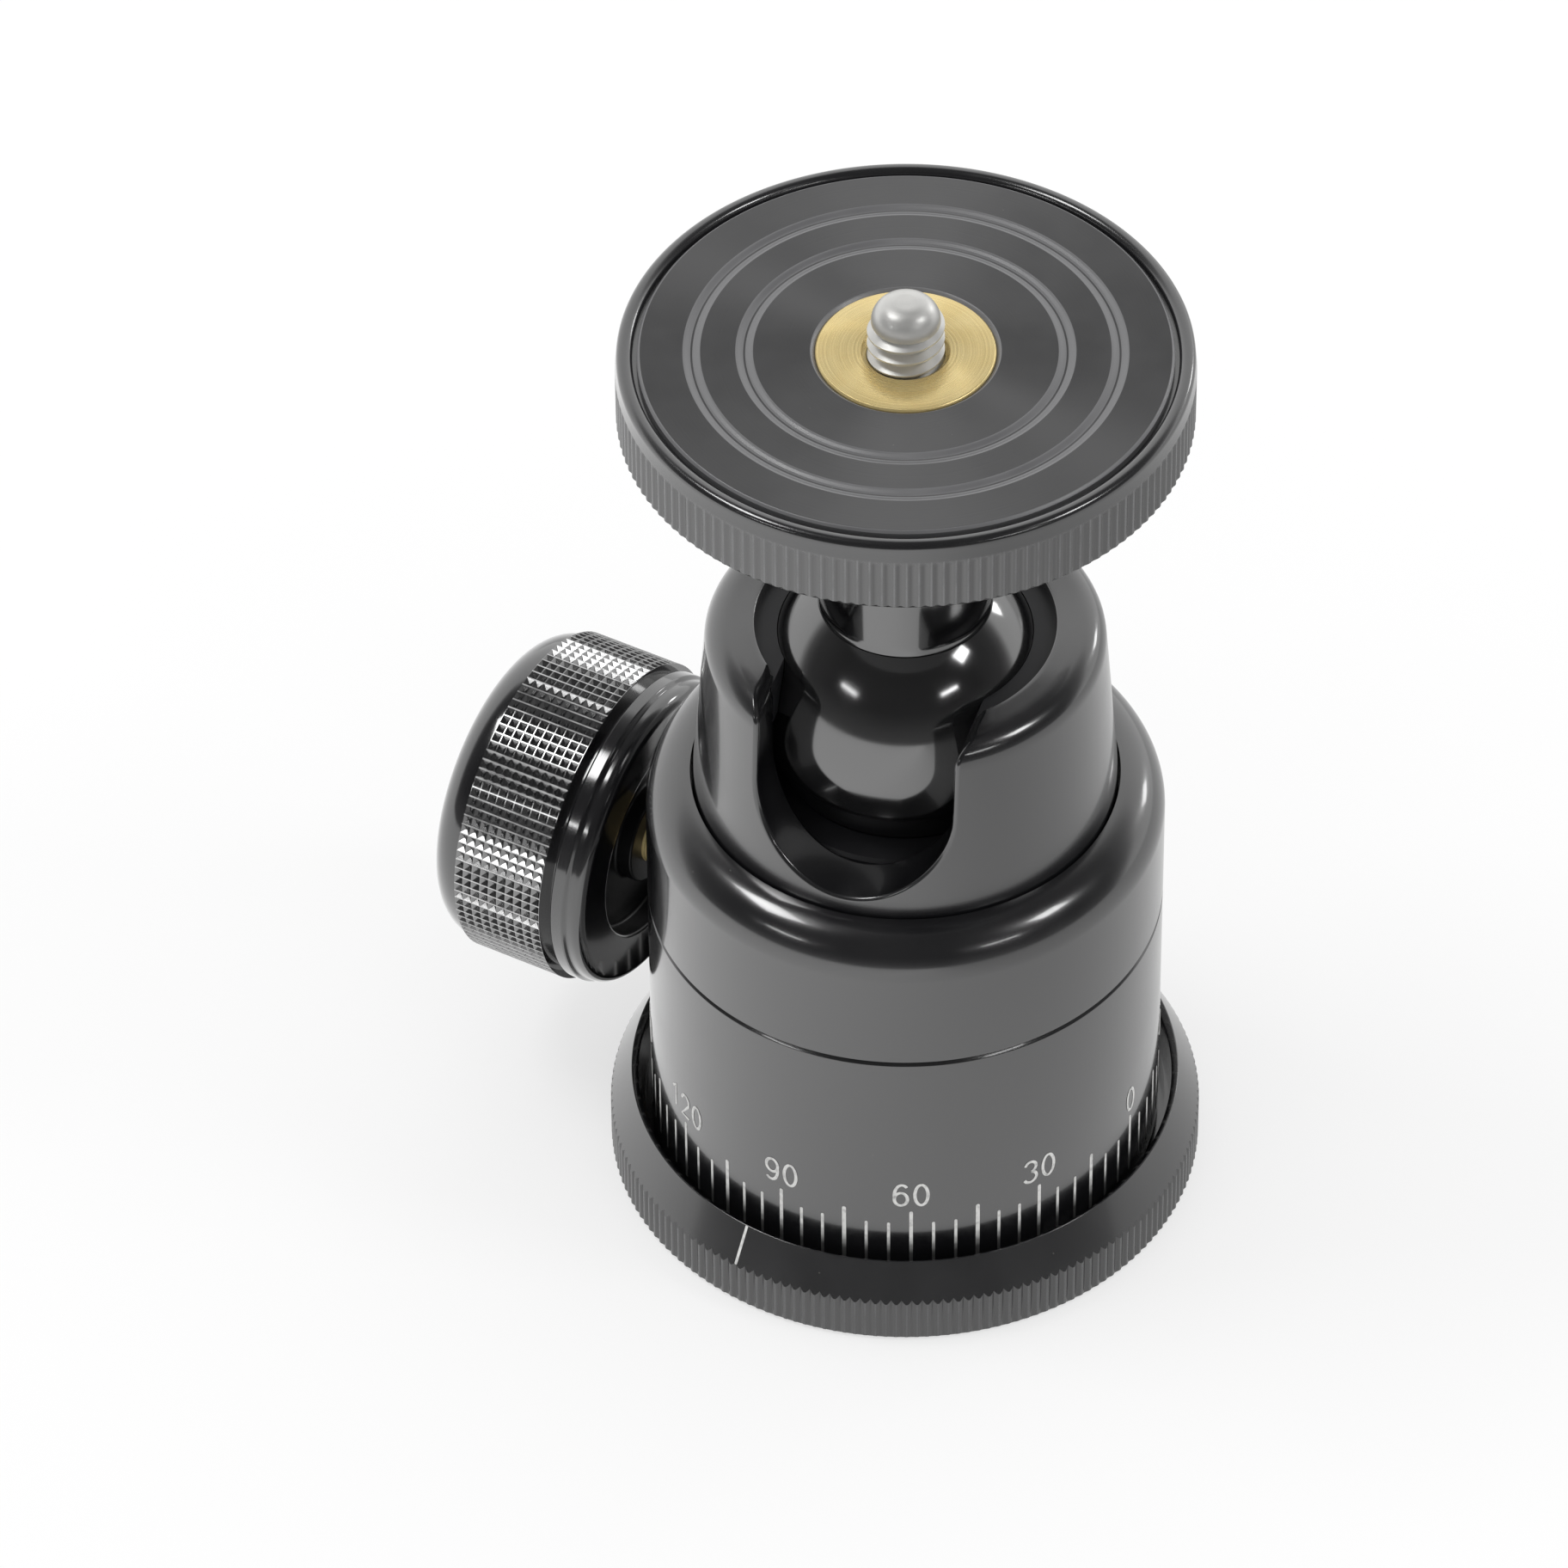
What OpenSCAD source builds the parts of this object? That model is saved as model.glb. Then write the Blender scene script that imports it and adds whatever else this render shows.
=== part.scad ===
// Tripod ball head with one locking knob and a panning base.
// Millimetres, +Z up. The origin is the centre of the base's underside, where the tripod
// screw goes in. The neck slot faces -Y and the locking knob points roughly to -X.

/* [Base] */
// How far the knurled base ring stands out past the scale drum
base_rim_w = 3.6; // [3.2:0.1:8]
// Height of the base ring's upright knurled band
base_band_h = 4.3; // [3:0.1:5.5]
// Full height of the base ring
base_h = 7.8; // [6.6:0.1:8.6]
// Width of the sloping bevel, seen from above
base_bevel_w = 1.9; // [1.4:0.1:2]
// Thickness of the base ring's floor
base_floor_t = 3.2; // [2.8:0.1:4]
// Gap between the scale drum and the thin step inside the base ring
base_step_gap = 0.6; // [0.4:0.1:0.9]
// Minor diameter of the 3/8 inch tripod thread
tripod_hole_d = 7.94; // [7.6:0.01:8.2]
// Depth of the tripod thread
tripod_hole_depth = 9; // [7:0.1:10]

/* [Pan bearing] */
// Diameter of the spindle's spigot in the base floor
spigot_d = 12.4; // [12:0.1:13]
// Diameter of the spindle's flange on the base floor
flange_d = 25; // [24:0.1:25.6]
// Thickness of the spindle's flange
flange_t = 1.8; // [1.5:0.1:2.5]
// Diameter of the journal that the body turns on
journal_d = 14; // [13.2:0.1:15]
// Diameter of the threaded neck above the journal
nut_thread_d = 10; // [9.6:0.1:11]
// Diameter of the round nut
nut_d = 19.2; // [18:0.1:19.6]
// Thickness of the round nut
nut_t = 2.4; // [2:0.1:2.8]
// Thickness of the washer under the body
lower_washer_t = 0.5; // [0.4:0.05:1]
// Thickness of the washer over the drum's web
upper_washer_t = 0.75; // [0.5:0.05:1]
// Shank diameter of the base screws
base_screw_d = 3; // [2.5:0.1:3.2]
// Head diameter of the base screws
base_screw_head_d = 5.4; // [5:0.1:5.6]
// Radius of the circle that the base screws stand on
base_screw_ring_r = 9.5; // [9.4:0.05:9.8]
// Number of base screws
base_screw_count = 3; // [3:1:5]

/* [Body] */
// Outer diameter of the scale drum and of the collar
body_d = 44; // [43:0.1:44.6]
// Height of the scale drum's wall
drum_h = 26.2; // [25.4:0.1:28]
// Thickness of the drum's web
web_t = 4.9; // [4:0.1:5]
// Diameter of the vertical guide bore
guide_d = 20; // [19.9:0.1:21]
// Height of the drum's spigot inside the collar
drum_spigot_h = 3.1; // [2:0.1:3.4]
// Height of the collar
collar_h = 13.4; // [12.8:0.1:15]
// Radius of the collar's rounded shoulder
shoulder_r = 3.8; // [3:0.1:4]
// Chamfer on each side of the seam between drum and collar
seam_chamfer = 0.25; // [0.1:0.05:0.4]
// Height of the locking knob's axis
knob_z = 24; // [23.8:0.1:24.6]
// Direction of the locking knob, anticlockwise from +X
knob_azimuth = 168; // [150:1:190]

/* [Ball housing] */
// How much the housing's radius shrinks from the collar to its top edge
housing_taper = 1.2; // [0.4:0.1:1.5]
// Height of the housing above the collar
housing_rise = 17.3; // [16.8:0.1:18]
// Radius of the housing's top outer edge
housing_edge_r = 2; // [1:0.1:2.4]
// Thickness of the flange that the collar clamps
housing_flange_t = 3.7; // [2.5:0.1:4]
// Height of the housing's rim above the ball's centre
rim_over_ball = 8.1; // [7.9:0.1:8.5]
// Thickness of the lip over the upper seat
lip_t = 1.2; // [0.8:0.1:1.4]
// How far the lip reaches in over the bore
lip_w = 0.7; // [0.4:0.1:1]
// Width of the neck slot
slot_w = 16.8; // [16:0.1:18]
// Radius of the slot's rounded mouth corners
slot_mouth_r = 2.2; // [1:0.1:3]

/* [Ball and neck] */
// Diameter of the ball
ball_d = 25.4; // [25:0.1:25.6]
// Diameter of the neck
neck_d = 14.2; // [13.6:0.1:14.4]
// Length of the neck between ball and plate
neck_l = 20.7; // [18:0.1:24]
// Diameter of the stud that joins ball and neck
stud_d = 8; // [6:0.1:8.4]
// Length of the stud inside the ball
stud_in_ball = 13; // [8:0.1:14]
// Length of the stud inside the neck
stud_in_neck = 9; // [6:0.1:10]

/* [Seats] */
// Height of the upper seat ring
upper_seat_h = 3.6; // [3:0.1:4]
// Height of the lower seat ring
lower_seat_h = 4.7; // [4:0.1:4.8]
// Gap between the plunger's head and the bottom of the ball
ball_under_gap = 0.6; // [0.5:0.1:1]
// Height of the two disc springs between plunger and lower seat
spring_h = 1.1; // [1:0.1:1.4]
// Hole through the lower seat
lower_seat_hole_d = 15; // [14:0.1:17]
// Thickness of one disc spring
spring_t = 0.45; // [0.3:0.05:0.5]
// Thickness of the plunger's head
plunger_head_t = 2; // [1.5:0.1:2.2]

/* [Locking knob] */
// Diameter of the knob over its knurl
knob_d = 29; // [26:0.1:29.6]
// Length of the knob
knob_l = 15.5; // [14.5:0.1:18]
// Gap between the drum and the knob's inner face
knob_gap = 2.2; // [1.6:0.1:4]
// Length of the knurled band
knob_band_l = 8.4; // [6:0.1:8.6]
// Distance from the knob's inner face to the knurled band
knob_band_at = 3.7; // [3.5:0.1:4]
// Depth of the groove beside the knurled band
knob_groove = 1; // [0.5:0.1:1.4]
// Radius of the knob's rounded outer edge
knob_edge_r = 3.2; // [2:0.1:3.2]
// Diameter of the recess in the inner face
knob_recess_d = 18.4; // [15:0.1:20]
// Depth of the recess in the inner face
knob_recess_t = 2; // [1:0.1:2.4]
// Diameter of the hub in the recess
knob_hub_d = 8.8; // [8:0.1:11]
// Diameter of the cap in the outer face
knob_cap_d = 18; // [16:0.1:20]
// Thickness of the cap
knob_cap_t = 1.2; // [0.8:0.1:1.6]
// Diameter of the brass screw
knob_shaft_d = 5; // [4.6:0.1:5.2]
// Shank diameter of the screw that holds the knob
knob_screw_d = 3; // [2.5:0.1:3]
// Head diameter of the screw that holds the knob
knob_screw_head_d = 5.5; // [5:0.1:6]
// Head height of the screw that holds the knob
knob_screw_head_h = 3; // [2:0.1:3]

/* [Clamp] */
// Diameter of the lock pin
pin_d = 6; // [5.6:0.1:6]
// Length of the lock pin's straight part
pin_body_l = 10.3; // [9.4:0.1:10.6]
// Half angle of the lock pin's cone, in degrees
cone_angle = 30; // [28:1:32]
// Diameter of the lock pin's flat tip
pin_tip_d = 1.2; // [1:0.1:1.6]
// Distance from the body's axis to the flat tip when locked
pin_tip_at = 0.4; // [0.4:0.1:1]
// Outward travel of the lock pin from locked to free
pin_travel = 0.8; // [0.4:0.1:0.8]

/* [Camera plate] */
// Diameter of the camera plate over its knurl
plate_d = 47.4; // [45:0.1:52]
// Thickness of the camera plate with its disc
plate_t = 6.8; // [6.4:0.1:8]
// Height of the plate's upright knurled band
plate_band_h = 5.1; // [4:0.1:5.2]
// Width of the plate's rim from its knurl to the turned top disc
plate_rim_w = 1.8; // [1.6:0.1:3]
// Width of the groove between that rim's bead and the disc
plate_groove_w = 0.35; // [0.2:0.05:0.4]
// Thickness of the turned top disc
disc_t = 1.2; // [1:0.1:1.6]
// Diameter of the inner decorative ring on the top disc
inner_ring_d = 26.3; // [20:0.1:29]
// Diameter of the outer decorative ring on the top disc
outer_ring_d = 34.9; // [32:0.1:40]
// Width of the decorative rings
ring_w = 1.2; // [0.6:0.1:1.6]
// Depth of the decorative rings
ring_depth = 0.2; // [0.1:0.05:0.3]
// Diameter of the brass insert
insert_d = 14.8; // [13.8:0.1:16]
// Thickness of the brass insert
insert_t = 3.6; // [3:0.1:4]
// Diameter of the neck's spigot in the plate
neck_spigot_d = 12; // [11.4:0.1:12.4]
// Diameter of the 1/4 inch camera screw
screw_d = 6.35; // [6:0.01:6.5]
// Height of the camera screw above the plate
screw_h = 5.2; // [4.5:0.1:6]
// Length of the camera screw inside the neck
screw_in_neck = 9; // [6:0.1:10]
// Depth and half height of the thread relief where the screw leaves the plate
screw_relief = 0.3; // [0.2:0.05:0.4]
// Diameter of the two dowels between neck and plate
dowel_d = 1.5; // [1:0.1:1.5]

/* [Clearances] */
// Radial clearance of a running fit
run_gap = 0.05; // [0.03:0.01:0.08]
// Play between faces that slide on each other
face_gap = 0.05; // [0.03:0.01:0.08]
// Radial gap between the ball and its bore
bore_gap = 0.6; // [0.5:0.05:0.8]
// Radial gap between the housing and the collar's lip
lip_gap = 0.2; // [0.1:0.05:0.3]
// Gap between the base floor and the drum's wall
skirt_gap = 0.5; // [0.4:0.1:0.6]
// Gap between the neck and the slot's bottom, neck laid over
slot_gap = 0.4; // [0.3:0.1:0.8]

/* [Hidden] */
$fn = 96;

black = "#1c1c1d";
gloss_black = "#101011";
steel = "#a9abad";
brass = "#c9a14f";
nylon = "#26262a";

// Small chamfers, the play round a screw's head and the overlap that makes a clean cut
edge = 0.3;
head_gap = 0.1;
cut = 1;

// Heights of the pan bearing, from the base up
flange_z = base_floor_t;
journal_z = flange_z + flange_t;
web_z = journal_z + lower_washer_t + face_gap;
web_top = web_z + web_t;
nut_z = web_top + upper_washer_t + face_gap;
nut_top = nut_z + nut_t;

// Heights of the body
drum_z = base_floor_t + skirt_gap;
seam_z = drum_z + drum_h;
spigot_top = seam_z + drum_spigot_h;
flange_top = spigot_top + housing_flange_t;
collar_top = seam_z + collar_h;
housing_top = collar_top + housing_rise;
ball_z = housing_top - rim_over_ball;
body_r = body_d / 2;
base_r = body_r + base_rim_w;
base_step_r = body_r + base_step_gap;
collar_lip_r = body_r - shoulder_r;
housing_foot_r = collar_lip_r - lip_gap;
housing_top_r = housing_foot_r - housing_taper;
collar_wall = 2.4;
collar_bore_r = body_r - collar_wall;

// Ball, neck and seats
ball_r = ball_d / 2;
neck_r = neck_d / 2;
neck_foot_r = neck_r + 0.2;
ball_flat_h = sqrt(ball_r * ball_r - neck_foot_r * neck_foot_r);
bore_r = ball_r + bore_gap;
slot_floor_z = ball_z - neck_foot_r - slot_gap;
slot_mid_z = slot_floor_z + slot_w / 2;
seat_sphere_r = ball_r + face_gap;
upper_seat_top = housing_top - lip_t;
plunger_top = ball_z - ball_r - ball_under_gap;
lower_seat_z = plunger_top + spring_h;
lower_seat_top = lower_seat_z + lower_seat_h;
seat_r = bore_r - 2 * run_gap;

// Clamp
cone_l = (pin_d - pin_tip_d) / 2 / tan(cone_angle);
pin_shoulder = pin_tip_at + cone_l;
pin_end = pin_shoulder + pin_body_l;
seat_travel = pin_travel * tan(cone_angle);
split_gap = seat_travel + 0.35;
groove_r = pin_d / 2 + seat_travel + 0.15;
shaft_start = pin_end + face_gap;

// Locking knob, as distances from the body's axis
knob_reach = body_r + knob_gap;
cap_start = knob_reach + knob_l - knob_cap_t;
knob_head_start = cap_start - knob_screw_head_h;
shaft_stop = knob_head_start - 1;
knob_screw_l = 7;

// Plate, from the neck's foot up
neck_z = ball_z + ball_flat_h + face_gap;
plate_z = neck_z + neck_l;
plate_top = plate_z + plate_t;
insert_z = plate_top - insert_t;
plate_r = plate_d / 2;
disc_r = plate_r - plate_rim_w;
bead_r = (plate_rim_w - plate_groove_w - 0.1) / 2;
dowel_ring_r = (neck_spigot_d / 2 + screw_d / 2) / 2;
dowel_l = 3;

// Points of an arc, for the rounded edges of turned pieces
function arc(cx, cy, r, from, to, steps = 10) =
    [for (i = [0:steps]) let (a = from + (to - from) * i / steps) [cx + r * cos(a), cy + r * sin(a)]];

module turned(points) {
    rotate_extrude() polygon(points);
}

module bored(outer_r, inner_r, z, h) {
    translate([0, 0, z]) difference() {
        cylinder(r = outer_r, h = h);
        translate([0, 0, -cut]) cylinder(r = inner_r, h = h + 2 * cut);
    }
}

// Places children along the knob's axis: their +Z points away from the body
module along_knob(distance = 0) {
    translate([0, 0, knob_z]) rotate([0, 0, knob_azimuth]) rotate([0, 90, 0])
        translate([0, 0, distance]) children();
}

module around(count, radius) {
    for (i = [0:count - 1]) rotate([0, 0, 90 + 360 * i / count]) translate([radius, 0, 0]) children();
}

module base_ring() {
    lip_r = base_r - base_bevel_w;
    wall_r = (lip_r + base_step_r) / 2;
    step_z = base_band_h + 0.5;
    color(black) difference() {
        turned([
            [spigot_d / 2, 0], [base_r - edge, 0], [base_r, edge], [base_r, base_band_h],
            [lip_r, base_h], [wall_r, base_h - (lip_r - wall_r)], [wall_r, step_z],
            [base_step_r, step_z], [base_step_r, base_floor_t], [spigot_d / 2, base_floor_t]
        ]);
        around(base_screw_count, base_screw_ring_r) screw_void();
    }
}

// Countersunk screw with its head flush in the base's underside
module screw_void(gap = head_gap) {
    head_t = (base_screw_head_d - base_screw_d) / 2;
    translate([0, 0, -cut]) cylinder(r = base_screw_head_d / 2 + gap, h = cut);
    cylinder(r1 = base_screw_head_d / 2 + gap, r2 = base_screw_d / 2 + gap, h = head_t);
    cylinder(r = base_screw_d / 2 + gap, h = base_floor_t + flange_t + cut);
}

module pan_spindle() {
    color(steel) difference() {
        turned([
            [0, 0], [spigot_d / 2, 0], [spigot_d / 2, flange_z], [flange_d / 2, flange_z],
            [flange_d / 2, journal_z], [journal_d / 2, journal_z], [journal_d / 2, nut_z],
            [nut_thread_d / 2, nut_z], [nut_thread_d / 2, nut_top - edge], [0, nut_top - edge]
        ]);
        translate([0, 0, -cut]) cylinder(d = tripod_hole_d, h = tripod_hole_depth + cut);
        around(base_screw_count, base_screw_ring_r)
            translate([0, 0, flange_z - cut]) cylinder(d = base_screw_d, h = flange_t + 2 * cut);
    }
}

module base_screws() {
    head_t = (base_screw_head_d - base_screw_d) / 2;
    socket_d = 2;
    color(steel) around(base_screw_count, base_screw_ring_r) difference() {
        union() {
            cylinder(d1 = base_screw_head_d, d2 = base_screw_d, h = head_t);
            cylinder(d = base_screw_d, h = flange_z + flange_t - edge);
        }
        translate([0, 0, -cut]) cylinder(d = socket_d, h = cut + 1, $fn = 6);
    }
}

module lower_washer() {
    color(nylon) bored(flange_d / 2, journal_d / 2, journal_z, lower_washer_t);
}

module spindle_nut() {
    hole_r = 0.8;
    color(steel) difference() {
        bored(nut_d / 2, nut_thread_d / 2, nut_z, nut_t);
        for (side = [0, 180]) rotate([0, 0, side])
            translate([(nut_d + nut_thread_d) / 4, 0, nut_z - cut]) cylinder(r = hole_r, h = nut_t + 2 * cut);
    }
}

module scale_drum() {
    guide_r = guide_d / 2;
    journal_bore_r = journal_d / 2 + run_gap;
    skirt_r = flange_d / 2 + 0.6;
    pin_bore_end = pin_end + pin_travel + edge;
    color(black) difference() {
        turned([
            [journal_bore_r, web_z], [skirt_r, web_z], [skirt_r, drum_z], [body_r - edge, drum_z],
            [body_r, drum_z + edge], [body_r, seam_z - seam_chamfer], [body_r - seam_chamfer, seam_z],
            [collar_bore_r, seam_z], [collar_bore_r, spigot_top], [guide_r, spigot_top],
            [guide_r, web_top], [journal_bore_r, web_top]
        ]);
        along_knob() cylinder(r = pin_d / 2 + run_gap, h = pin_bore_end);
        along_knob() cylinder(r = knob_shaft_d / 2 + run_gap, h = body_r + cut);
    }
}

module upper_washer() {
    color(nylon) bored(guide_d / 2 - run_gap, journal_d / 2 + 2 * run_gap, web_top, upper_washer_t);
}

// Seat for the lock pin's cone: a matching cone that opens into a deeper groove
module pin_socket() {
    flare_l = (groove_r - pin_tip_d / 2) / tan(cone_angle);
    along_knob(pin_tip_at - 1) cylinder(r = pin_tip_d / 2 + face_gap, h = 1.2);
    along_knob(pin_tip_at)
        cylinder(r1 = pin_tip_d / 2 + face_gap, r2 = groove_r + face_gap, h = flare_l);
    along_knob(pin_tip_at + flare_l - 0.01) cylinder(r = groove_r + face_gap, h = guide_d);
}

module brake_shoe() {
    shoe_z = nut_top + face_gap;
    color(brass) difference() {
        translate([0, 0, shoe_z]) cylinder(r = guide_d / 2 - run_gap, h = knob_z - split_gap / 2 - shoe_z);
        pin_socket();
    }
}

module body_collar() {
    color(black) turned(concat(
        [[collar_bore_r, seam_z], [body_r - seam_chamfer, seam_z], [body_r, seam_z + seam_chamfer]],
        arc(collar_lip_r, collar_top - shoulder_r, shoulder_r, 0, 90, 16),
        [[collar_lip_r, flange_top], [collar_bore_r, flange_top]]
    ));
}

// Slot that the neck drops into, cut straight through the wall on -Y
module neck_slot() {
    depth = 2 * housing_foot_r;
    half = slot_w / 2;
    translate([0, 0, slot_mid_z]) rotate([90, 0, 0]) cylinder(r = half, h = depth);
    translate([-half, -depth, slot_mid_z]) cube([slot_w, depth, housing_top]);
    for (side = [-1, 1]) difference() {
        translate([side * (half + slot_mouth_r / 2), -depth / 2, housing_top - slot_mouth_r / 2 + cut / 2])
            cube([slot_mouth_r + 0.02, depth, slot_mouth_r + cut], center = true);
        translate([side * (half + slot_mouth_r), cut, housing_top - slot_mouth_r]) rotate([90, 0, 0])
            cylinder(r = slot_mouth_r, h = depth + 2 * cut);
    }
}

module ball_housing() {
    edge_z = housing_top - housing_edge_r;
    taper_angle = atan(housing_taper / (edge_z - collar_top));
    flange_r = collar_bore_r - run_gap;
    lip_r = bore_r - lip_w;
    color(black) difference() {
        turned(concat(
            [
                [bore_r, spigot_top], [flange_r, spigot_top], [flange_r, flange_top],
                [housing_foot_r, flange_top], [housing_foot_r, collar_top]
            ],
            arc(housing_top_r - housing_edge_r, edge_z, housing_edge_r, taper_angle, 90),
            [
                [lip_r + edge, housing_top], [lip_r, housing_top - edge], [lip_r, upper_seat_top],
                [bore_r, upper_seat_top]
            ]
        ));
        neck_slot();
    }
}

module upper_seat() {
    color(nylon) difference() {
        bored(bore_r, ball_r - 3, upper_seat_top - upper_seat_h, upper_seat_h);
        translate([0, 0, ball_z]) sphere(r = seat_sphere_r);
        neck_slot();
    }
}

module lock_pin() {
    color(steel) along_knob(pin_tip_at) {
        cylinder(d1 = pin_tip_d, d2 = pin_d, h = cone_l);
        translate([0, 0, cone_l]) cylinder(d = pin_d, h = pin_body_l);
    }
}

module seat_plunger() {
    stem_z = knob_z + split_gap / 2;
    color(brass) difference() {
        union() {
            translate([0, 0, stem_z]) cylinder(r = guide_d / 2 - run_gap, h = plunger_top - stem_z);
            translate([0, 0, plunger_top - plunger_head_t])
                cylinder(r = seat_r, h = plunger_head_t);
        }
        pin_socket();
    }
}

// Two conical washers, stacked so that they touch at their inner edges
module disc_springs() {
    hole_r = lower_seat_hole_d / 2;
    rim_r = seat_r - 0.8;
    lower = plunger_top;
    upper = lower_seat_z;
    middle = (lower + upper) / 2;
    color(steel) {
        turned([[rim_r, lower], [rim_r, lower + spring_t], [hole_r, middle], [hole_r, middle - spring_t]]);
        turned([[rim_r, upper], [rim_r, upper - spring_t], [hole_r, middle], [hole_r, middle + spring_t]]);
    }
}

module ball_seat() {
    color(nylon) difference() {
        turned([
            [lower_seat_hole_d / 2, lower_seat_z], [seat_r, lower_seat_z], [seat_r, lower_seat_top - edge],
            [seat_r - edge, lower_seat_top], [lower_seat_hole_d / 2, lower_seat_top]
        ]);
        translate([0, 0, ball_z]) sphere(r = seat_sphere_r);
    }
}

module knob_grip() {
    crest_r = knob_d / 2;
    rim_r = crest_r - 0.4;
    face_r = crest_r - 0.7;
    face_edge_r = 1;
    recess_r = knob_recess_d / 2;
    groove_bottom_r = crest_r - knob_groove;
    band_end = knob_band_at + knob_band_l;
    hub_h = knob_recess_t - 0.4;
    color(black) along_knob(knob_reach) {
        difference() {
            turned(concat(
                [[0, knob_recess_t], [recess_r, knob_recess_t], [recess_r, edge], [recess_r + edge, 0]],
                arc(face_r - face_edge_r, face_edge_r, face_edge_r, -90, 0, 6),
                [
                    [face_r, knob_band_at - 2.3], [rim_r, knob_band_at - 2], [rim_r, knob_band_at - 0.9],
                    [groove_bottom_r, knob_band_at - 0.7], [groove_bottom_r, knob_band_at],
                    [crest_r, knob_band_at], [crest_r, band_end], [rim_r, band_end]
                ],
                arc(rim_r - knob_edge_r, knob_l - knob_edge_r, knob_edge_r, 0, 90),
                [[knob_cap_d / 2, knob_l], [knob_cap_d / 2, knob_l - knob_cap_t], [0, knob_l - knob_cap_t]]
            ));
            cylinder(d = knob_shaft_d, h = shaft_stop - knob_reach);
            cylinder(d = knob_screw_d, h = knob_l);
            translate([0, 0, knob_head_start - knob_reach])
                cylinder(d = knob_screw_head_d + 2 * head_gap, h = knob_screw_head_h + cut);
        }
        bored(knob_hub_d / 2, knob_shaft_d / 2, knob_recess_t - hub_h, hub_h);
    }
}

module knob_shaft() {
    color(brass) difference() {
        along_knob(shaft_start) cylinder(d = knob_shaft_d, h = shaft_stop - shaft_start);
        along_knob(shaft_stop - knob_screw_l) cylinder(d = knob_screw_d, h = knob_screw_l + cut);
    }
}

module knob_screw() {
    shank_start = shaft_stop - knob_screw_l + 1;
    socket_depth = knob_screw_head_h / 2;
    color(steel) difference() {
        union() {
            along_knob(shank_start) cylinder(d = knob_screw_d, h = knob_head_start - shank_start);
            along_knob(knob_head_start) cylinder(d = knob_screw_head_d, h = knob_screw_head_h - edge);
        }
        along_knob(cap_start - edge - socket_depth)
            cylinder(d = knob_screw_head_d / 2, h = knob_screw_head_h, $fn = 6);
    }
}

module knob_cap() {
    cap_r = knob_cap_d / 2;
    color(gloss_black) along_knob(cap_start)
        turned([[0, 0], [cap_r, 0], [cap_r, knob_cap_t - edge], [cap_r - edge, knob_cap_t], [0, knob_cap_t]]);
}

module ball() {
    stud_hole_r = stud_d / 2 + run_gap;
    color(gloss_black) translate([0, 0, ball_z]) difference() {
        sphere(r = ball_r);
        translate([0, 0, ball_flat_h]) cylinder(r = ball_r, h = ball_r);
        translate([0, 0, ball_flat_h - stud_in_ball - face_gap])
            cylinder(r = stud_hole_r, h = stud_in_ball + cut);
    }
}

module neck() {
    spigot_h = insert_z - plate_z;
    foot_h = 0.6;
    color(gloss_black) difference() {
        turned([
            [0, neck_z], [neck_foot_r, neck_z], [neck_r, neck_z + foot_h], [neck_r, plate_z],
            [neck_spigot_d / 2, plate_z], [neck_spigot_d / 2, plate_z + spigot_h], [0, plate_z + spigot_h]
        ]);
        translate([0, 0, neck_z - cut]) cylinder(d = stud_d, h = stud_in_neck + cut);
        translate([0, 0, insert_z - screw_in_neck]) cylinder(d = screw_d, h = screw_in_neck + cut);
        dowels(dowel_d);
    }
}

module neck_stud() {
    color(steel) translate([0, 0, neck_z - stud_in_ball])
        cylinder(d = stud_d, h = stud_in_ball + stud_in_neck);
}

module camera_plate() {
    bead_x = plate_r - 0.1 - bead_r;
    band_top = plate_z + plate_band_h;
    pocket_r = disc_r + plate_groove_w;
    pocket_z = plate_top - disc_t;
    color(black) turned(concat(
        [
            [neck_spigot_d / 2, plate_z], [plate_r - edge, plate_z], [plate_r, plate_z + edge],
            [plate_r, band_top], [plate_r - 0.2, band_top + 0.2]
        ],
        arc(bead_x, plate_top - bead_r, bead_r, 10, 170, 10),
        [
            [pocket_r, plate_top - 0.8], [disc_r, plate_top - 0.8], [disc_r, pocket_z],
            [insert_d / 2, pocket_z], [insert_d / 2, insert_z], [neck_spigot_d / 2, insert_z]
        ]
    ));
}

// Two holes or dowels that lie half in the neck's spigot and half in the insert
module dowels(d, gap = 0) {
    for (side = [-1, 1]) translate([side * dowel_ring_r, 0, insert_z - dowel_l / 2 - gap])
        cylinder(d = d, h = dowel_l + 2 * gap);
}

module plate_pins() {
    color(steel) dowels(dowel_d);
}

module platform_disc() {
    hole_r = insert_d / 2;
    color(black) difference() {
        turned([
            [hole_r, plate_top - disc_t], [disc_r, plate_top - disc_t], [disc_r, plate_top - edge],
            [disc_r - edge, plate_top], [hole_r + edge, plate_top], [hole_r, plate_top - edge]
        ]);
        for (d = [inner_ring_d, outer_ring_d]) turned([
            [(d - ring_w) / 2, plate_top + cut], [(d - ring_w) / 2, plate_top],
            [(d - ring_w / 3) / 2, plate_top - ring_depth], [(d + ring_w / 3) / 2, plate_top - ring_depth],
            [(d + ring_w) / 2, plate_top], [(d + ring_w) / 2, plate_top + cut]
        ]);
    }
}

module brass_insert() {
    color(brass) difference() {
        bored(insert_d / 2, screw_d / 2, insert_z, insert_t);
        dowels(dowel_d);
    }
}

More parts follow.
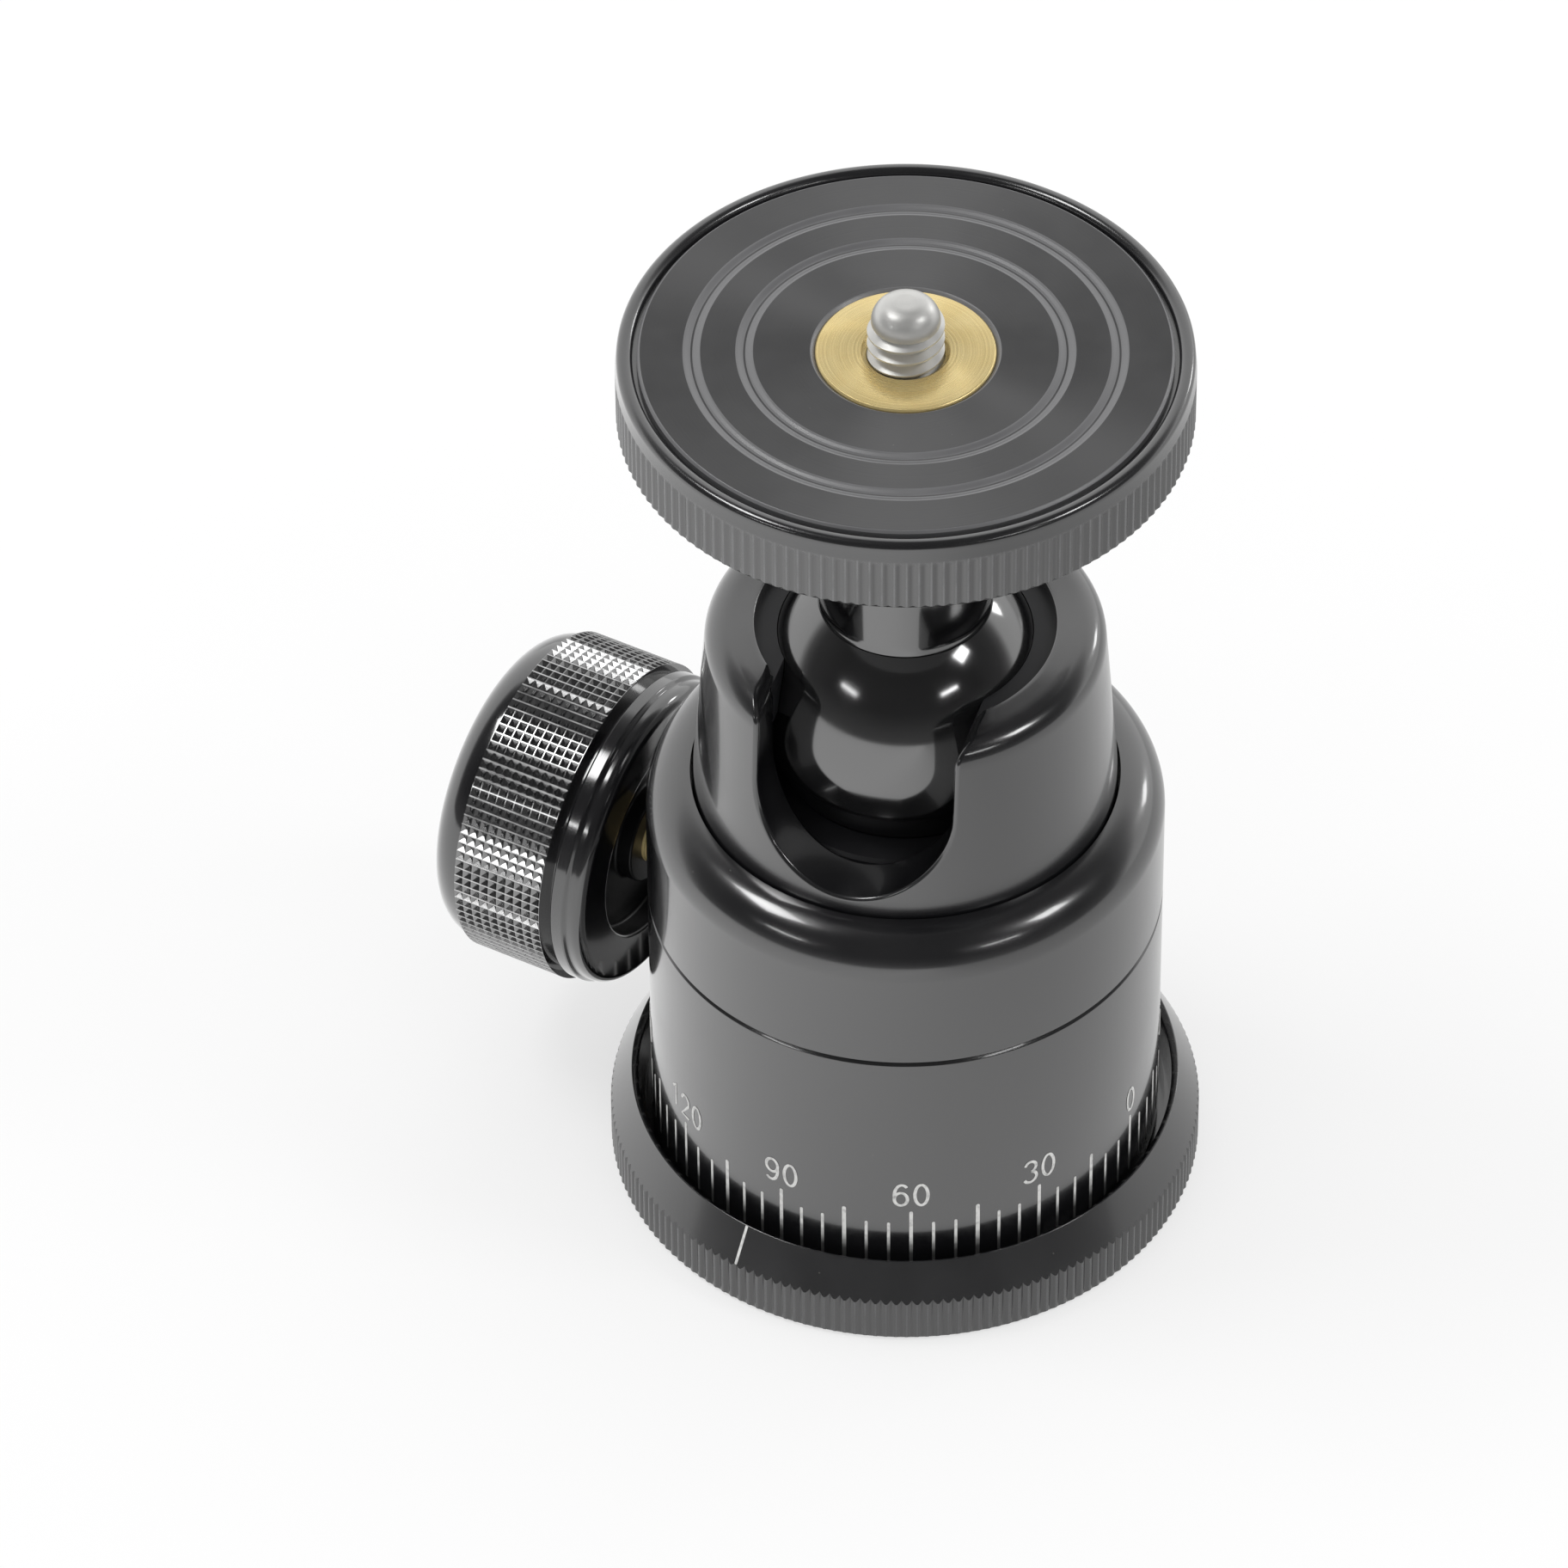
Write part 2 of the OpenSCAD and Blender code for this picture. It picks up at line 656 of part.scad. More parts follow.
module camera_screw() {
    dome_r = screw_d / 2 - 0.35;
    dome_h = 0.9;
    waist_r = screw_d / 2 - screw_relief;
    color(steel) turned(concat(
        [
            [0, insert_z - screw_in_neck], [screw_d / 2, insert_z - screw_in_neck],
            [screw_d / 2, plate_top - screw_relief], [waist_r, plate_top - screw_relief],
            [waist_r, plate_top + screw_relief], [screw_d / 2, plate_top + screw_relief],
            [screw_d / 2, plate_top + screw_h - dome_h]
        ],
        [for (a = [0:15:90]) [dome_r * cos(a), plate_top + screw_h - dome_h + dome_h * sin(a)]]
    ));
}

base_ring();
pan_spindle();
base_screws();
lower_washer();
spindle_nut();
scale_drum();
upper_washer();
brake_shoe();
body_collar();
ball_housing();
upper_seat();
lock_pin();
seat_plunger();
disc_springs();
ball_seat();
knob_grip();
knob_shaft();
knob_screw();
knob_cap();
ball();
neck();
neck_stud();
camera_plate();
plate_pins();
platform_disc();
brass_insert();
camera_screw();
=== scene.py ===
import bpy
import bmesh
from math import radians, degrees, pi, sin, cos, atan2, hypot
from mathutils import Matrix, Vector


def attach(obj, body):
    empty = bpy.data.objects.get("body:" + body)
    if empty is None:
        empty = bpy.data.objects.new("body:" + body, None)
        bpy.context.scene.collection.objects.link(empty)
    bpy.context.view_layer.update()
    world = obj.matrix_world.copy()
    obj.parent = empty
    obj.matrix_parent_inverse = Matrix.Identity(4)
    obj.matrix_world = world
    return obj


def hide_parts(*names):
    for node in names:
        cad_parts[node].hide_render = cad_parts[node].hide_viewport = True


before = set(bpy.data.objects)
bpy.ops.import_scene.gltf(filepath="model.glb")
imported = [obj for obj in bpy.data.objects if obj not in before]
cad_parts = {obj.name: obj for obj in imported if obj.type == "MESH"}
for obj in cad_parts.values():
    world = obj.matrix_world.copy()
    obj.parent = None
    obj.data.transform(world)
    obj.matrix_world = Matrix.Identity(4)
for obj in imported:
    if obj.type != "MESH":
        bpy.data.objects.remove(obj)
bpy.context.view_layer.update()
print("frame loaded")

millimetre = 0.001
# radii and heights in millimetres count as equal when they are this close
closeBy = 0.01


def turn(angle, axis):
    return Matrix.Rotation(radians(angle), 4, axis)


knobAxis = {"height": 24.0, "azimuth": 168}
alongKnob = Matrix.Translation((0, 0, knobAxis["height"])) @ turn(knobAxis["azimuth"], "Z") @ turn(90, "Y")


# colours and nodes

def linearColour(hexText):
    channels = [int(hexText[i:i + 2], 16) / 255 for i in (1, 3, 5)]
    return [c / 12.92 if c <= 0.04045 else ((c + 0.055) / 1.055) ** 2.4 for c in channels] + [1.0]


# sets a node's inputs: a node stands for its first output, text is a colour, and the rest are plain values
def setInputs(tree, node, inputs):
    for name, value in inputs.items():
        if isinstance(value, str):
            value = linearColour(value)
        if isinstance(value, bpy.types.Node):
            value = value.outputs[0]
        if isinstance(value, bpy.types.NodeSocket):
            tree.links.new(value, node.inputs[name])
        else:
            node.inputs[name].default_value = value


def addNode(tree, kind, inputs=None, **settings):
    made = tree.nodes.new("ShaderNode" + kind)
    for name, value in settings.items():
        setattr(made, name, value)
    setInputs(tree, made, inputs or {})
    return made


def emptyTree(owner):
    owner.use_nodes = True
    owner.node_tree.nodes.clear()
    return owner.node_tree


# a combed surface spreads its gloss round the axis it was turned on
def newMaterial(name, **shader):
    material = bpy.data.materials.new(name)
    tree = emptyTree(material)
    surface = addNode(tree, "BsdfPrincipled", shader)
    if shader.get("Anisotropic"):
        setInputs(tree, surface, {"Tangent": addNode(tree, "Tangent", direction_type="RADIAL", axis="Z")})
    addNode(tree, "OutputMaterial", {"Surface": surface})
    return material, tree, surface


# where a point lies about the axis its piece was turned on, in millimetres
def turnedPlace(tree, onKnob=False):
    place = addNode(tree, "TexCoord").outputs["Object"]
    if onKnob:
        place = addNode(tree, "Mapping", {"Vector": place, "Location": alongKnob.translation * millimetre,
                                          "Rotation": alongKnob.to_euler()}, vector_type="TEXTURE")
    point = addNode(tree, "VectorMath", {0: place, "Scale": 1 / millimetre}, operation="SCALE")
    parts = addNode(tree, "SeparateXYZ", {0: point})
    flat = addNode(tree, "CombineXYZ", {"X": parts.outputs["X"], "Y": parts.outputs["Y"]})
    radius = addNode(tree, "VectorMath", {0: flat}, operation="LENGTH")
    return point, radius.outputs["Value"], parts.outputs["Z"]


# the fine rings that the tool leaves, one to each turn, on flat faces and on walls alike
def toolRings(tree, radius, height, feed):
    run = addNode(tree, "Math", {0: radius, 1: height}, operation="ADD")
    return addNode(tree, "TexNoise", {"W": run, "Scale": 1 / feed, "Detail": 2.0}, noise_dimensions="1D")


def anodise(name, look, onKnob=False):
    material, tree, surface = newMaterial(name, **{
        "IOR": look["ior"], "Coat Weight": look["seal"], "Coat Roughness": look["sealRoughness"],
        "Coat IOR": look["sealIor"], "Anisotropic": look["comb"]})
    point, radius, height = turnedPlace(tree, onKnob)
    rings = toolRings(tree, radius, height, look["feed"])
    haze = addNode(tree, "TexNoise", {"Vector": point, "Scale": 1 / look["hazeSize"], "Detail": 3.0})
    tone = addNode(tree, "Mix", {0: haze, 6: look["black"], 7: look["haze"]}, data_type="RGBA")
    cells = addNode(tree, "TexVoronoi", {"Vector": point, "Scale": 1 / look["dustSpacing"]})
    near = addNode(tree, "Math", {
        0: cells.outputs["Distance"], 1: look["dustSize"] / look["dustSpacing"]}, operation="LESS_THAN")
    dusty = addNode(tree, "Mix", {0: near, 6: tone.outputs[2], 7: look["dust"]}, data_type="RGBA")
    smooth, dull = look["roughness"]
    rough = addNode(tree, "MapRange", {
        "Value": haze, "From Min": look["hazeFrom"], "From Max": look["hazeTo"], "To Min": smooth, "To Max": dull})
    ringBump = addNode(tree, "Bump", {"Height": rings, "Distance": look["ringDepth"] * millimetre})
    setInputs(tree, surface, {"Base Color": dusty.outputs[2], "Roughness": rough, "Normal": ringBump})
    return material


# aluminium turned and polished, then black anodised and sealed: a deep soft gloss, a little hazed by handling,
# with a few specks of dust; sizes in millimetres
bodyGloss = {
    "black": "#101012", "haze": "#18181a", "dust": "#55534f", "roughness": (0.2, 0.26), "ior": 1.95, "seal": 1.0,
    "sealRoughness": 0.08, "sealIor": 1.5, "comb": 0.0, "hazeSize": 6.0, "hazeFrom": 0.35, "hazeTo": 0.65, "feed": 0.14,
    "ringDepth": 0.001, "dustSpacing": 3.0, "dustSize": 0.06,
}

# the knob was polished further, so its rims carry sharp lamps
knobGloss = {**bodyGloss, "roughness": (0.1, 0.15)}

# as it came off the cutter, where no one looks: dull, with a darker black as painted shade for the recess
recessDullShaded = {
    **bodyGloss, "black": "#0d0d0e", "roughness": (0.34, 0.42), "ior": 1.45, "seal": 0.0, "feed": 0.25,
    "ringDepth": 0.006,
}

# the same bath over a mirror polish: the ball and the neck show the room sharply
mirrorGloss = {
    **bodyGloss, "black": "#0a0a0b", "haze": "#101011", "dust": "#4a4844", "roughness": (0.1, 0.14), "ior": 2.6,
    "seal": 0.0, "hazeSize": 4.0, "ringDepth": 0.0003, "dustSpacing": 3.5,
}

# faced with a round-nosed tool and anodised: concentric rings that spread the light across the disc
facedRings = {
    **bodyGloss, "black": "#131315", "haze": "#1b1b1d", "roughness": (0.34, 0.4), "ior": 2.0, "seal": 0.0, "comb": 0.85,
    "hazeSize": 5.0, "feed": 0.16, "ringDepth": 0.004,
}

# the two shallow grooves in it, left silky by the form tool and painted pale as a painted highlight for the light they
# catch
paleGrooveHighlight = {**facedRings, "black": "#555557", "haze": "#5f5f61", "roughness": (0.36, 0.42), "ior": 2.2, "comb": 0.5}


def knurledAnodise(name, look, onKnob=False):
    material, tree, surface = newMaterial(name, IOR=look["ior"])
    point, radius = turnedPlace(tree, onKnob)[:2]
    nearCrest = addNode(tree, "MapRange", {
        "Value": radius, "From Min": look["crest"] - look["depth"], "From Max": look["crest"]})
    parts = addNode(tree, "SeparateXYZ", {0: point})
    around = addNode(tree, "Math", {0: parts.outputs["Y"], 1: parts.outputs["X"]}, operation="ARCTAN2")
    count = addNode(tree, "Math", {
        0: around, 1: look["count"] / (2 * pi), 2: look["count"] + look["crestAt"]}, operation="MULTIPLY_ADD")
    fromRidge = addNode(tree, "Math", {0: count, 1: 0.5}, operation="PINGPONG")
    thin, wide = look["ridge"]
    onRidge = addNode(tree, "MapRange", {"Value": fromRidge, "From Min": wide, "From Max": thin})
    high = addNode(tree, "Math", {0: nearCrest, 1: look["crestPower"]}, operation="POWER")
    lineNoise = addNode(tree, "TexNoise", {"Vector": point, "Scale": 1 / look["lineNoiseSize"], "Detail": 3.0})
    lineVariation = addNode(tree, "MapRange", {
        "Value": lineNoise, "From Min": look["lineNoiseFrom"], "From Max": look["lineNoiseTo"], "To Min": look["faintestLine"]})
    # painted highlight: the light line along each ridge is partly wear and partly the light the ridge catches
    line = addNode(tree, "Math", {0: onRidge, 1: high}, operation="MULTIPLY")
    wearAndHighlight = addNode(tree, "Math", {0: line, 1: lineVariation}, operation="MULTIPLY")
    tone = addNode(tree, "Mix", {0: wearAndHighlight, 6: look["groove"], 7: look["ridgeWearAndHighlight"]}, data_type="RGBA")
    rough = addNode(tree, "MapRange", {
        "Value": nearCrest, "To Min": look["roughness"][0], "To Max": look["roughness"][1]})
    scuffs = addNode(tree, "TexNoise", {"Vector": point, "Scale": 1 / look["scuffSize"], "Detail": 2.0})
    bump = addNode(tree, "Bump", {"Height": scuffs, "Distance": look["scuff"] * millimetre})
    setInputs(tree, surface, {"Base Color": tone.outputs[2], "Roughness": rough, "Normal": bump})
    return material


# knurling pressed in after the polish, then anodised: burnished faces glint, and the ridges that fingers rub are worn
# towards bare metal and carry a painted highlight for the light they catch; a ridge's width is a share of the tooth
# spacing
knobKnurl = {
    "crest": 14.5, "depth": 0.34, "count": 107, "crestAt": 0.0, "ridge": (0.06, 0.1), "groove": "#0e0e10",
    "ridgeWearAndHighlight": "#c4c4c4", "roughness": (0.2, 0.14), "ior": 3.3, "crestPower": 6.0, "lineNoiseSize": 2.0, "lineNoiseFrom": 0.3,
    "lineNoiseTo": 0.6, "faintestLine": 0.35, "scuffSize": 0.2, "scuff": 0.001,
}

# straight knurling on the rims is cleaner, with only a thin grey line along each tooth, partly wear and partly painted
# highlight
plateKnurl = {
    **knobKnurl, "crest": 23.7, "depth": 0.17, "count": 150, "crestAt": 0.5, "ridge": (0.03, 0.11), "ridgeWearAndHighlight": "#4a4a4c",
    "roughness": (0.3, 0.26), "ior": 2.3,
}
baseKnurl = {**plateKnurl, "crest": 25.6, "depth": 0.2, "count": 180, "ridgeWearAndHighlight": "#38383a", "ior": 2.0}


def turnedMetal(name, look, onKnob=False):
    material, tree, surface = newMaterial(name, Metallic=look["metal"], Anisotropic=look["comb"])
    point, radius, height = turnedPlace(tree, onKnob)
    rings = toolRings(tree, radius, height, look["feed"])
    stain = addNode(tree, "TexNoise", {"Vector": point, "Scale": 1 / look["stainSize"], "Detail": 3.0})
    tone = addNode(tree, "Mix", {0: stain, 6: look["bright"], 7: look["dull"]}, data_type="RGBA")
    low, high = look["roughness"]
    rough = addNode(tree, "MapRange", {
        "Value": rings, "From Min": look["ringFrom"], "From Max": look["ringTo"], "To Min": low, "To Max": high})
    bump = addNode(tree, "Bump", {"Height": rings, "Distance": look["ringDepth"] * millimetre})
    setInputs(tree, surface, {"Base Color": tone.outputs[2], "Roughness": rough, "Normal": bump})
    return material


# free-cutting brass, faced on a lathe: pale yellow, its rings fan the lamps out into bright sectors
brassFacing = {
    "bright": "#f2dfa6", "dull": "#e6cb88", "metal": 0.75, "stainSize": 2.5, "roughness": (0.22, 0.34), "comb": 0.93,
    "feed": 0.16, "ringFrom": 0.3, "ringTo": 0.7, "ringDepth": 0.006,
}

# the knob's screw is the same brass made less metallic, a lit copy of it as painted light, so it keeps a bright colour
# in the knob's shade
litBrassShaft = {**brassFacing, "metal": 0.45, "comb": 0.0}

# stainless steel, turned and bright, with a grey cast in the thread
steelTurning = {
    **brassFacing, "bright": "#e8e7e4", "dull": "#cfcfcc", "stainSize": 1.5, "roughness": (0.38, 0.46), "comb": 0.0,
    "feed": 0.15, "ringDepth": 0.003,
}


def mouldedAcetal():
    # black acetal from a blasted mould: waxy and faintly mottled, with a fine even texture
    look = {
        "dark": "#18181a", "light": "#242427", "mottle": 3.0, "texture": 0.12, "textureDepth": 0.004,
        "roughness": (0.38, 0.5), "ior": 1.48,
    }
    material, tree, surface = newMaterial("moulded black acetal", IOR=look["ior"])
    point = turnedPlace(tree)[0]
    mottle = addNode(tree, "TexNoise", {"Vector": point, "Scale": 1 / look["mottle"], "Detail": 2.0})
    tone = addNode(tree, "Mix", {0: mottle, 6: look["dark"], 7: look["light"]}, data_type="RGBA")
    rough = addNode(tree, "MapRange", {
        "Value": mottle, "To Min": look["roughness"][0], "To Max": look["roughness"][1]})
    blast = addNode(tree, "TexNoise", {"Vector": point, "Scale": 1 / look["texture"], "Detail": 1.0})
    bump = addNode(tree, "Bump", {"Height": blast, "Distance": look["textureDepth"] * millimetre})
    setInputs(tree, surface, {"Base Color": tone.outputs[2], "Roughness": rough, "Normal": bump})
    return material


def fillerPaint():
    # white paint wiped into engraving: matt, a little thin and grey in places, and darkened with painted shade towards
    # the bottom, where it runs down behind the base ring; the painted shade is on the drum only, which lies inside
    # drumEdge
    look = {
        "full": "#d6d6d4", "thin": "#a9a9a8", "paintedShade": "#141414", "shadeFrom": 9.0, "shadeTo": 7.0, "deepestShade": 0.9,
        "drumEdge": 22.5, "patch": 0.5, "thinFrom": 0.45, "thinTo": 0.75, "brush": 0.08, "brushDepth": 0.006,
        "roughness": 0.6, "ior": 1.5,
    }
    material, tree, surface = newMaterial("white engraving paint", IOR=look["ior"], Roughness=look["roughness"])
    point, radius, height = turnedPlace(tree)
    patches = addNode(tree, "TexNoise", {"Vector": point, "Scale": 1 / look["patch"], "Detail": 2.0})
    cover = addNode(tree, "MapRange", {
        "Value": patches, "From Min": look["thinFrom"], "From Max": look["thinTo"]})
    tone = addNode(tree, "Mix", {0: cover, 6: look["full"], 7: look["thin"]}, data_type="RGBA")
    onDrum = addNode(tree, "Math", {0: radius, 1: look["drumEdge"]}, operation="LESS_THAN")
    # painted shade: the marks on the drum darken towards their lower ends, behind the base ring
    low = addNode(tree, "MapRange", {
        "Value": height, "From Min": look["shadeFrom"], "From Max": look["shadeTo"], "To Max": look["deepestShade"]})
    paintedShade = addNode(tree, "Math", {0: onDrum, 1: low}, operation="MULTIPLY")
    shadedPaint = addNode(tree, "Mix", {0: paintedShade, 6: tone.outputs[2], 7: look["paintedShade"]}, data_type="RGBA")
    strokes = addNode(tree, "TexNoise", {"Vector": point, "Scale": 1 / look["brush"], "Detail": 1.0})
    bump = addNode(tree, "Bump", {"Height": strokes, "Distance": look["brushDepth"] * millimetre})
    setInputs(tree, surface, {"Base Color": shadedPaint.outputs[2], "Normal": bump})
    return material


finish = {
    "body": anodise("gloss black anodised aluminium", bodyGloss),
    "knobBody": anodise("gloss black anodised aluminium, knob", knobGloss, onKnob=True),
    "mirror": anodise("mirror black anodised aluminium", mirrorGloss),
    "knobMirror": anodise("mirror black anodised aluminium, knob", mirrorGloss, onKnob=True),
    "faced": anodise("faced black anodised aluminium", facedRings),
    "groove": anodise("grooved black anodised aluminium", paleGrooveHighlight),
    "recess": anodise("machined black anodised aluminium", recessDullShaded, onKnob=True),
    "baseKnurl": knurledAnodise("knurled anodised aluminium, base", baseKnurl),
    "plateKnurl": knurledAnodise("knurled anodised aluminium, plate", plateKnurl),
    "knobKnurl": knurledAnodise("knurled anodised aluminium, knob", knobKnurl, onKnob=True),
    "brass": turnedMetal("turned brass", brassFacing),
    "knobBrass": turnedMetal("turned brass, knob screw", litBrassShaft, onKnob=True),
    "steel": turnedMetal("turned stainless steel", steelTurning),
    "nylon": mouldedAcetal(),
    "paint": fillerPaint(),
}
print("finishes mixed")


# shaping

def moveTo(bm, place):
    bmesh.ops.transform(bm, matrix=place, verts=bm.verts[:])


def faceOutward(bm):
    bmesh.ops.recalc_face_normals(bm, faces=bm.faces[:])


# turns a profile about Z; its corners are (radius, height, rounding), where a rounding is how far back from its
# corner the curve starts and text stands for one of the piece's sizes
def lathe(sizes, corners, steps=256, closed=True, segments=5):
    bm = bmesh.new()
    corners = [[sizes[c] if isinstance(c, str) else c for c in corner] for corner in corners]
    points = [bm.verts.new((r, 0, z)) for r, z, *rest in corners]
    for a, b in zip(points, points[1:]):
        bm.edges.new((a, b))
    if closed:
        bm.edges.new((points[-1], points[0]))
    for point, corner in zip(points, corners):
        if len(corner) > 2:
            bmesh.ops.bevel(bm, geom=[point], offset=corner[2], offset_type="OFFSET", affect="VERTICES",
                            segments=segments, profile=0.5, material=-1)
    bmesh.ops.spin(bm, geom=bm.verts[:] + bm.edges[:], cent=(0, 0, 0), axis=(0, 0, 1), angle=2 * pi, steps=steps,
                   use_merge=True)
    bmesh.ops.remove_doubles(bm, verts=bm.verts[:], dist=1e-4)
    faceOutward(bm)
    return bm


# one tooth of a straight knurl: how deep the rim sinks at each step round it, as a share of the tooth's depth
toothShape = (1.0, 0.42, 0.0, 0.0, 0.42)


# cuts straight V grooves into a piece's outer wall; above its band they follow the slope of the bevel, and with a
# fade they run out over that height below the band's top
def knurlStraight(bm, d, slope=0.0, fade=0.0):
    for vert in bm.verts:
        radius = hypot(vert.co.x, vert.co.y)
        if radius > d["outer"] - closeBy:
            step = round(atan2(vert.co.y, vert.co.x) / (2 * pi) * d["teeth"] * len(toothShape)) % len(toothShape)
            sink = d["toothDepth"] * toothShape[step]
            if fade:
                sink *= min(1.0, max(0.0, (d["bandTop"] - vert.co.z) / fade))
            if slope and vert.co.z > d["bandTop"] - closeBy:
                vert.co.z += sink * slope
            vert.co.x *= (radius - sink) / radius
            vert.co.y *= (radius - sink) / radius


# gives the second finish to faces whose middle lies beyond a radius and below a height
def markBand(bm, beyond, below):
    for face in bm.faces:
        middle = face.calc_center_median()
        if hypot(middle.x, middle.y) > beyond and middle.z < below:
            face.material_index = 1


def toMesh(bm, name):
    mesh = bpy.data.meshes.new(name)
    bm.to_mesh(mesh)
    bm.free()
    return mesh


def addObject(name, data):
    added = bpy.data.objects.new(name, data)
    bpy.context.collection.objects.link(added)
    return added


# cuts one bmesh out of another
def carve(bm, cutter):
    holders = [addObject("carving", toMesh(shape, "carving")) for shape in (bm, cutter)]
    cut = holders[0].modifiers.new("cut", "BOOLEAN")
    cut.operation, cut.solver, cut.object = "DIFFERENCE", "EXACT", holders[1]
    result = bmesh.new()
    result.from_mesh(holders[0].evaluated_get(bpy.context.evaluated_depsgraph_get()).to_mesh())
    for holder in holders:
        bpy.data.objects.remove(holder)
    return result


def finishPiece(bm, name, body, looks, replaces=(), place=None, sharp=32, weighted=True):
    if place is not None:
        moveTo(bm, place)
    for face in bm.faces:
        face.smooth = True
    for edge in bm.edges:
        sides = edge.link_faces
        edge.smooth = (len(sides) == 2 and edge.calc_face_angle() < radians(sharp)
                       and sides[0].material_index == sides[1].material_index)
    bmesh.ops.scale(bm, vec=(millimetre,) * 3, verts=bm.verts[:])
    mesh = toMesh(bm, name)
    for look in looks:
        mesh.materials.append(finish[look])
    piece = addObject(name, mesh)
    if weighted:
        piece.modifiers.new("even shading", "WEIGHTED_NORMAL").keep_sharp = True
    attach(piece, body)
    if replaces:
        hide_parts(*replaces)
    return piece


# the widths are shares of the pitch, and the root is sunk into the core by so many millimetres
thread = {"rootHalf": 0.44, "crestFlat": 0.12, "sunk": 0.15}


# winds a screw's ridge round its core, tapered away at both ends; a crest inside the core gives a nut's thread
def windThread(bm, d, perTurn=36):
    base = d["pitch"] * thread["rootHalf"]
    tip = d["pitch"] * thread["crestFlat"] / 2
    root = d["core"] + (thread["sunk"] if d["crest"] < d["core"] else -thread["sunk"])
    section = [bm.verts.new((r, 0, d["threadFrom"] + z))
               for r, z in ((root, -base), (d["crest"], -tip), (d["crest"], tip), (root, base))]
    edges = [bm.edges.new(pair) for pair in zip(section, section[1:] + section[:1])]
    steps = int((d["threadTo"] - d["threadFrom"]) / d["pitch"] * perTurn)
    wound = bmesh.ops.spin(bm, geom=section + edges, cent=(0, 0, 0), axis=(0, 0, 1), angle=2 * pi * steps / perTurn,
                           steps=steps, dvec=(0, 0, d["pitch"] / perTurn))
    last = [g for g in wound["geom_last"] if isinstance(g, bmesh.types.BMEdge)]
    for loop in (edges, last):
        for vert in {v for e in loop for v in e.verts}:
            flat = hypot(vert.co.x, vert.co.y)
            vert.co.x *= root / flat
            vert.co.y *= root / flat
        bmesh.ops.contextual_create(bm, geom=loop)
    faceOutward(bm)


# base ring with its straight knurl

baseRing = {
    "outer": 25.6, "bandTop": 4.3, "top": 7.8, "bevelWidth": 1.9, "edge": 0.3, "wall": 23.15, "step": 22.6,
    "stepTop": 4.8, "floor": 3.2, "midFloor": 16.0, "bore": 6.2, "teeth": 180, "toothDepth": 0.2, "knurlDepth": 0.35,
    "knurlOver": 0.25, "screws": 3, "firstScrew": 90, "screwRing": 9.5, "screwHead": 2.8, "screwHole": 1.6, "sink": 1.2,
    "past": 0.5,
}


def makeBaseRing():
    d = baseRing
    lip = d["outer"] - d["bevelWidth"]
    bm = lathe(d, [
        ("bore", 0, 0.15), ("midFloor", 0), (d["outer"] - d["edge"], 0), ("outer", "edge"), ("outer", "bandTop"),
        (lip, "top", 0.12), ("wall", d["top"] - (lip - d["wall"]), 0.08), ("wall", "stepTop"), ("step", "stepTop"),
        ("step", "floor"), ("midFloor", "floor"), ("bore", "floor"),
    ], steps=d["teeth"] * len(toothShape), segments=3)
    knurlStraight(bm, d, slope=(d["top"] - d["bandTop"]) / d["bevelWidth"])
    cutter = bmesh.new()
    low, high = -d["past"], d["floor"] + 2 * d["past"]
    for screw in range(d["screws"]):
        at = (Matrix.Rotation(radians(d["firstScrew"]) + 2 * pi * screw / d["screws"], 4, "Z")
              @ Matrix.Translation((d["screwRing"], 0, 0)))
        hole = lathe(d, [(0, low), (d["screwHead"] + d["past"], low), ("screwHole", "sink"), ("screwHole", high),
                         (0, high)], steps=48)
        moveTo(hole, at)
        cutter.from_mesh(toMesh(hole, "hole"))
    bm = carve(bm, cutter)
    markBand(bm, d["outer"] - d["knurlDepth"], d["bandTop"] + d["knurlOver"])
    finishPiece(bm, "baseRing", "base", ["body", "baseKnurl"], ["base_ring"], sharp=42)


makeBaseRing()
print("base ring")


# spindle in the base, with the tripod thread in its underside: 3/8 inch, 16 threads to the inch

spindle = {
    "spigot": 6.0, "flangeBottom": 3.2, "flangeTop": 5.0, "flange": 12.5, "journal": 7.0, "journalTop": 11.25,
    "neck": 5.0, "top": 13.35, "core": 4.76, "crest": 3.97, "depth": 9.0, "mouth": 0.35, "pitch": 1.5875,
    "threadFrom": 1.0, "threadTo": 8.1,
}


def makeSpindle():
    d = spindle
    bm = lathe(d, [
        (0, "top"), (0, "depth"), ("core", "depth"), ("core", "mouth"), (d["core"] + d["mouth"], 0), ("spigot", 0, 0.1),
        ("spigot", "flangeBottom"), ("flange", "flangeBottom"), ("flange", "flangeTop", 0.1), ("journal", "flangeTop"),
        ("journal", "journalTop", 0.1), ("neck", "journalTop"), ("neck", "top"),
    ], steps=120, closed=False, segments=2)
    windThread(bm, d, perTurn=60)
    finishPiece(bm, "panSpindle", "base", ["steel"], ["pan_spindle"])


makeSpindle()
print("spindle")


# scale drum and collar: one wall with a seam

drum = {
    "outer": 22.0, "bottom": 3.7, "seam": 29.9, "chamfer": 0.25, "edge": 0.3, "collarBore": 19.6, "spigotTop": 33.0,
    "guide": 10.0, "webTop": 10.45, "web": 5.55, "journal": 7.05, "skirt": 13.1, "shaftHole": 2.55, "shaftHoleEnd": 24,
    "pinHole": 3.05, "pinHoleStart": 5, "pinStop": 15.957,
}


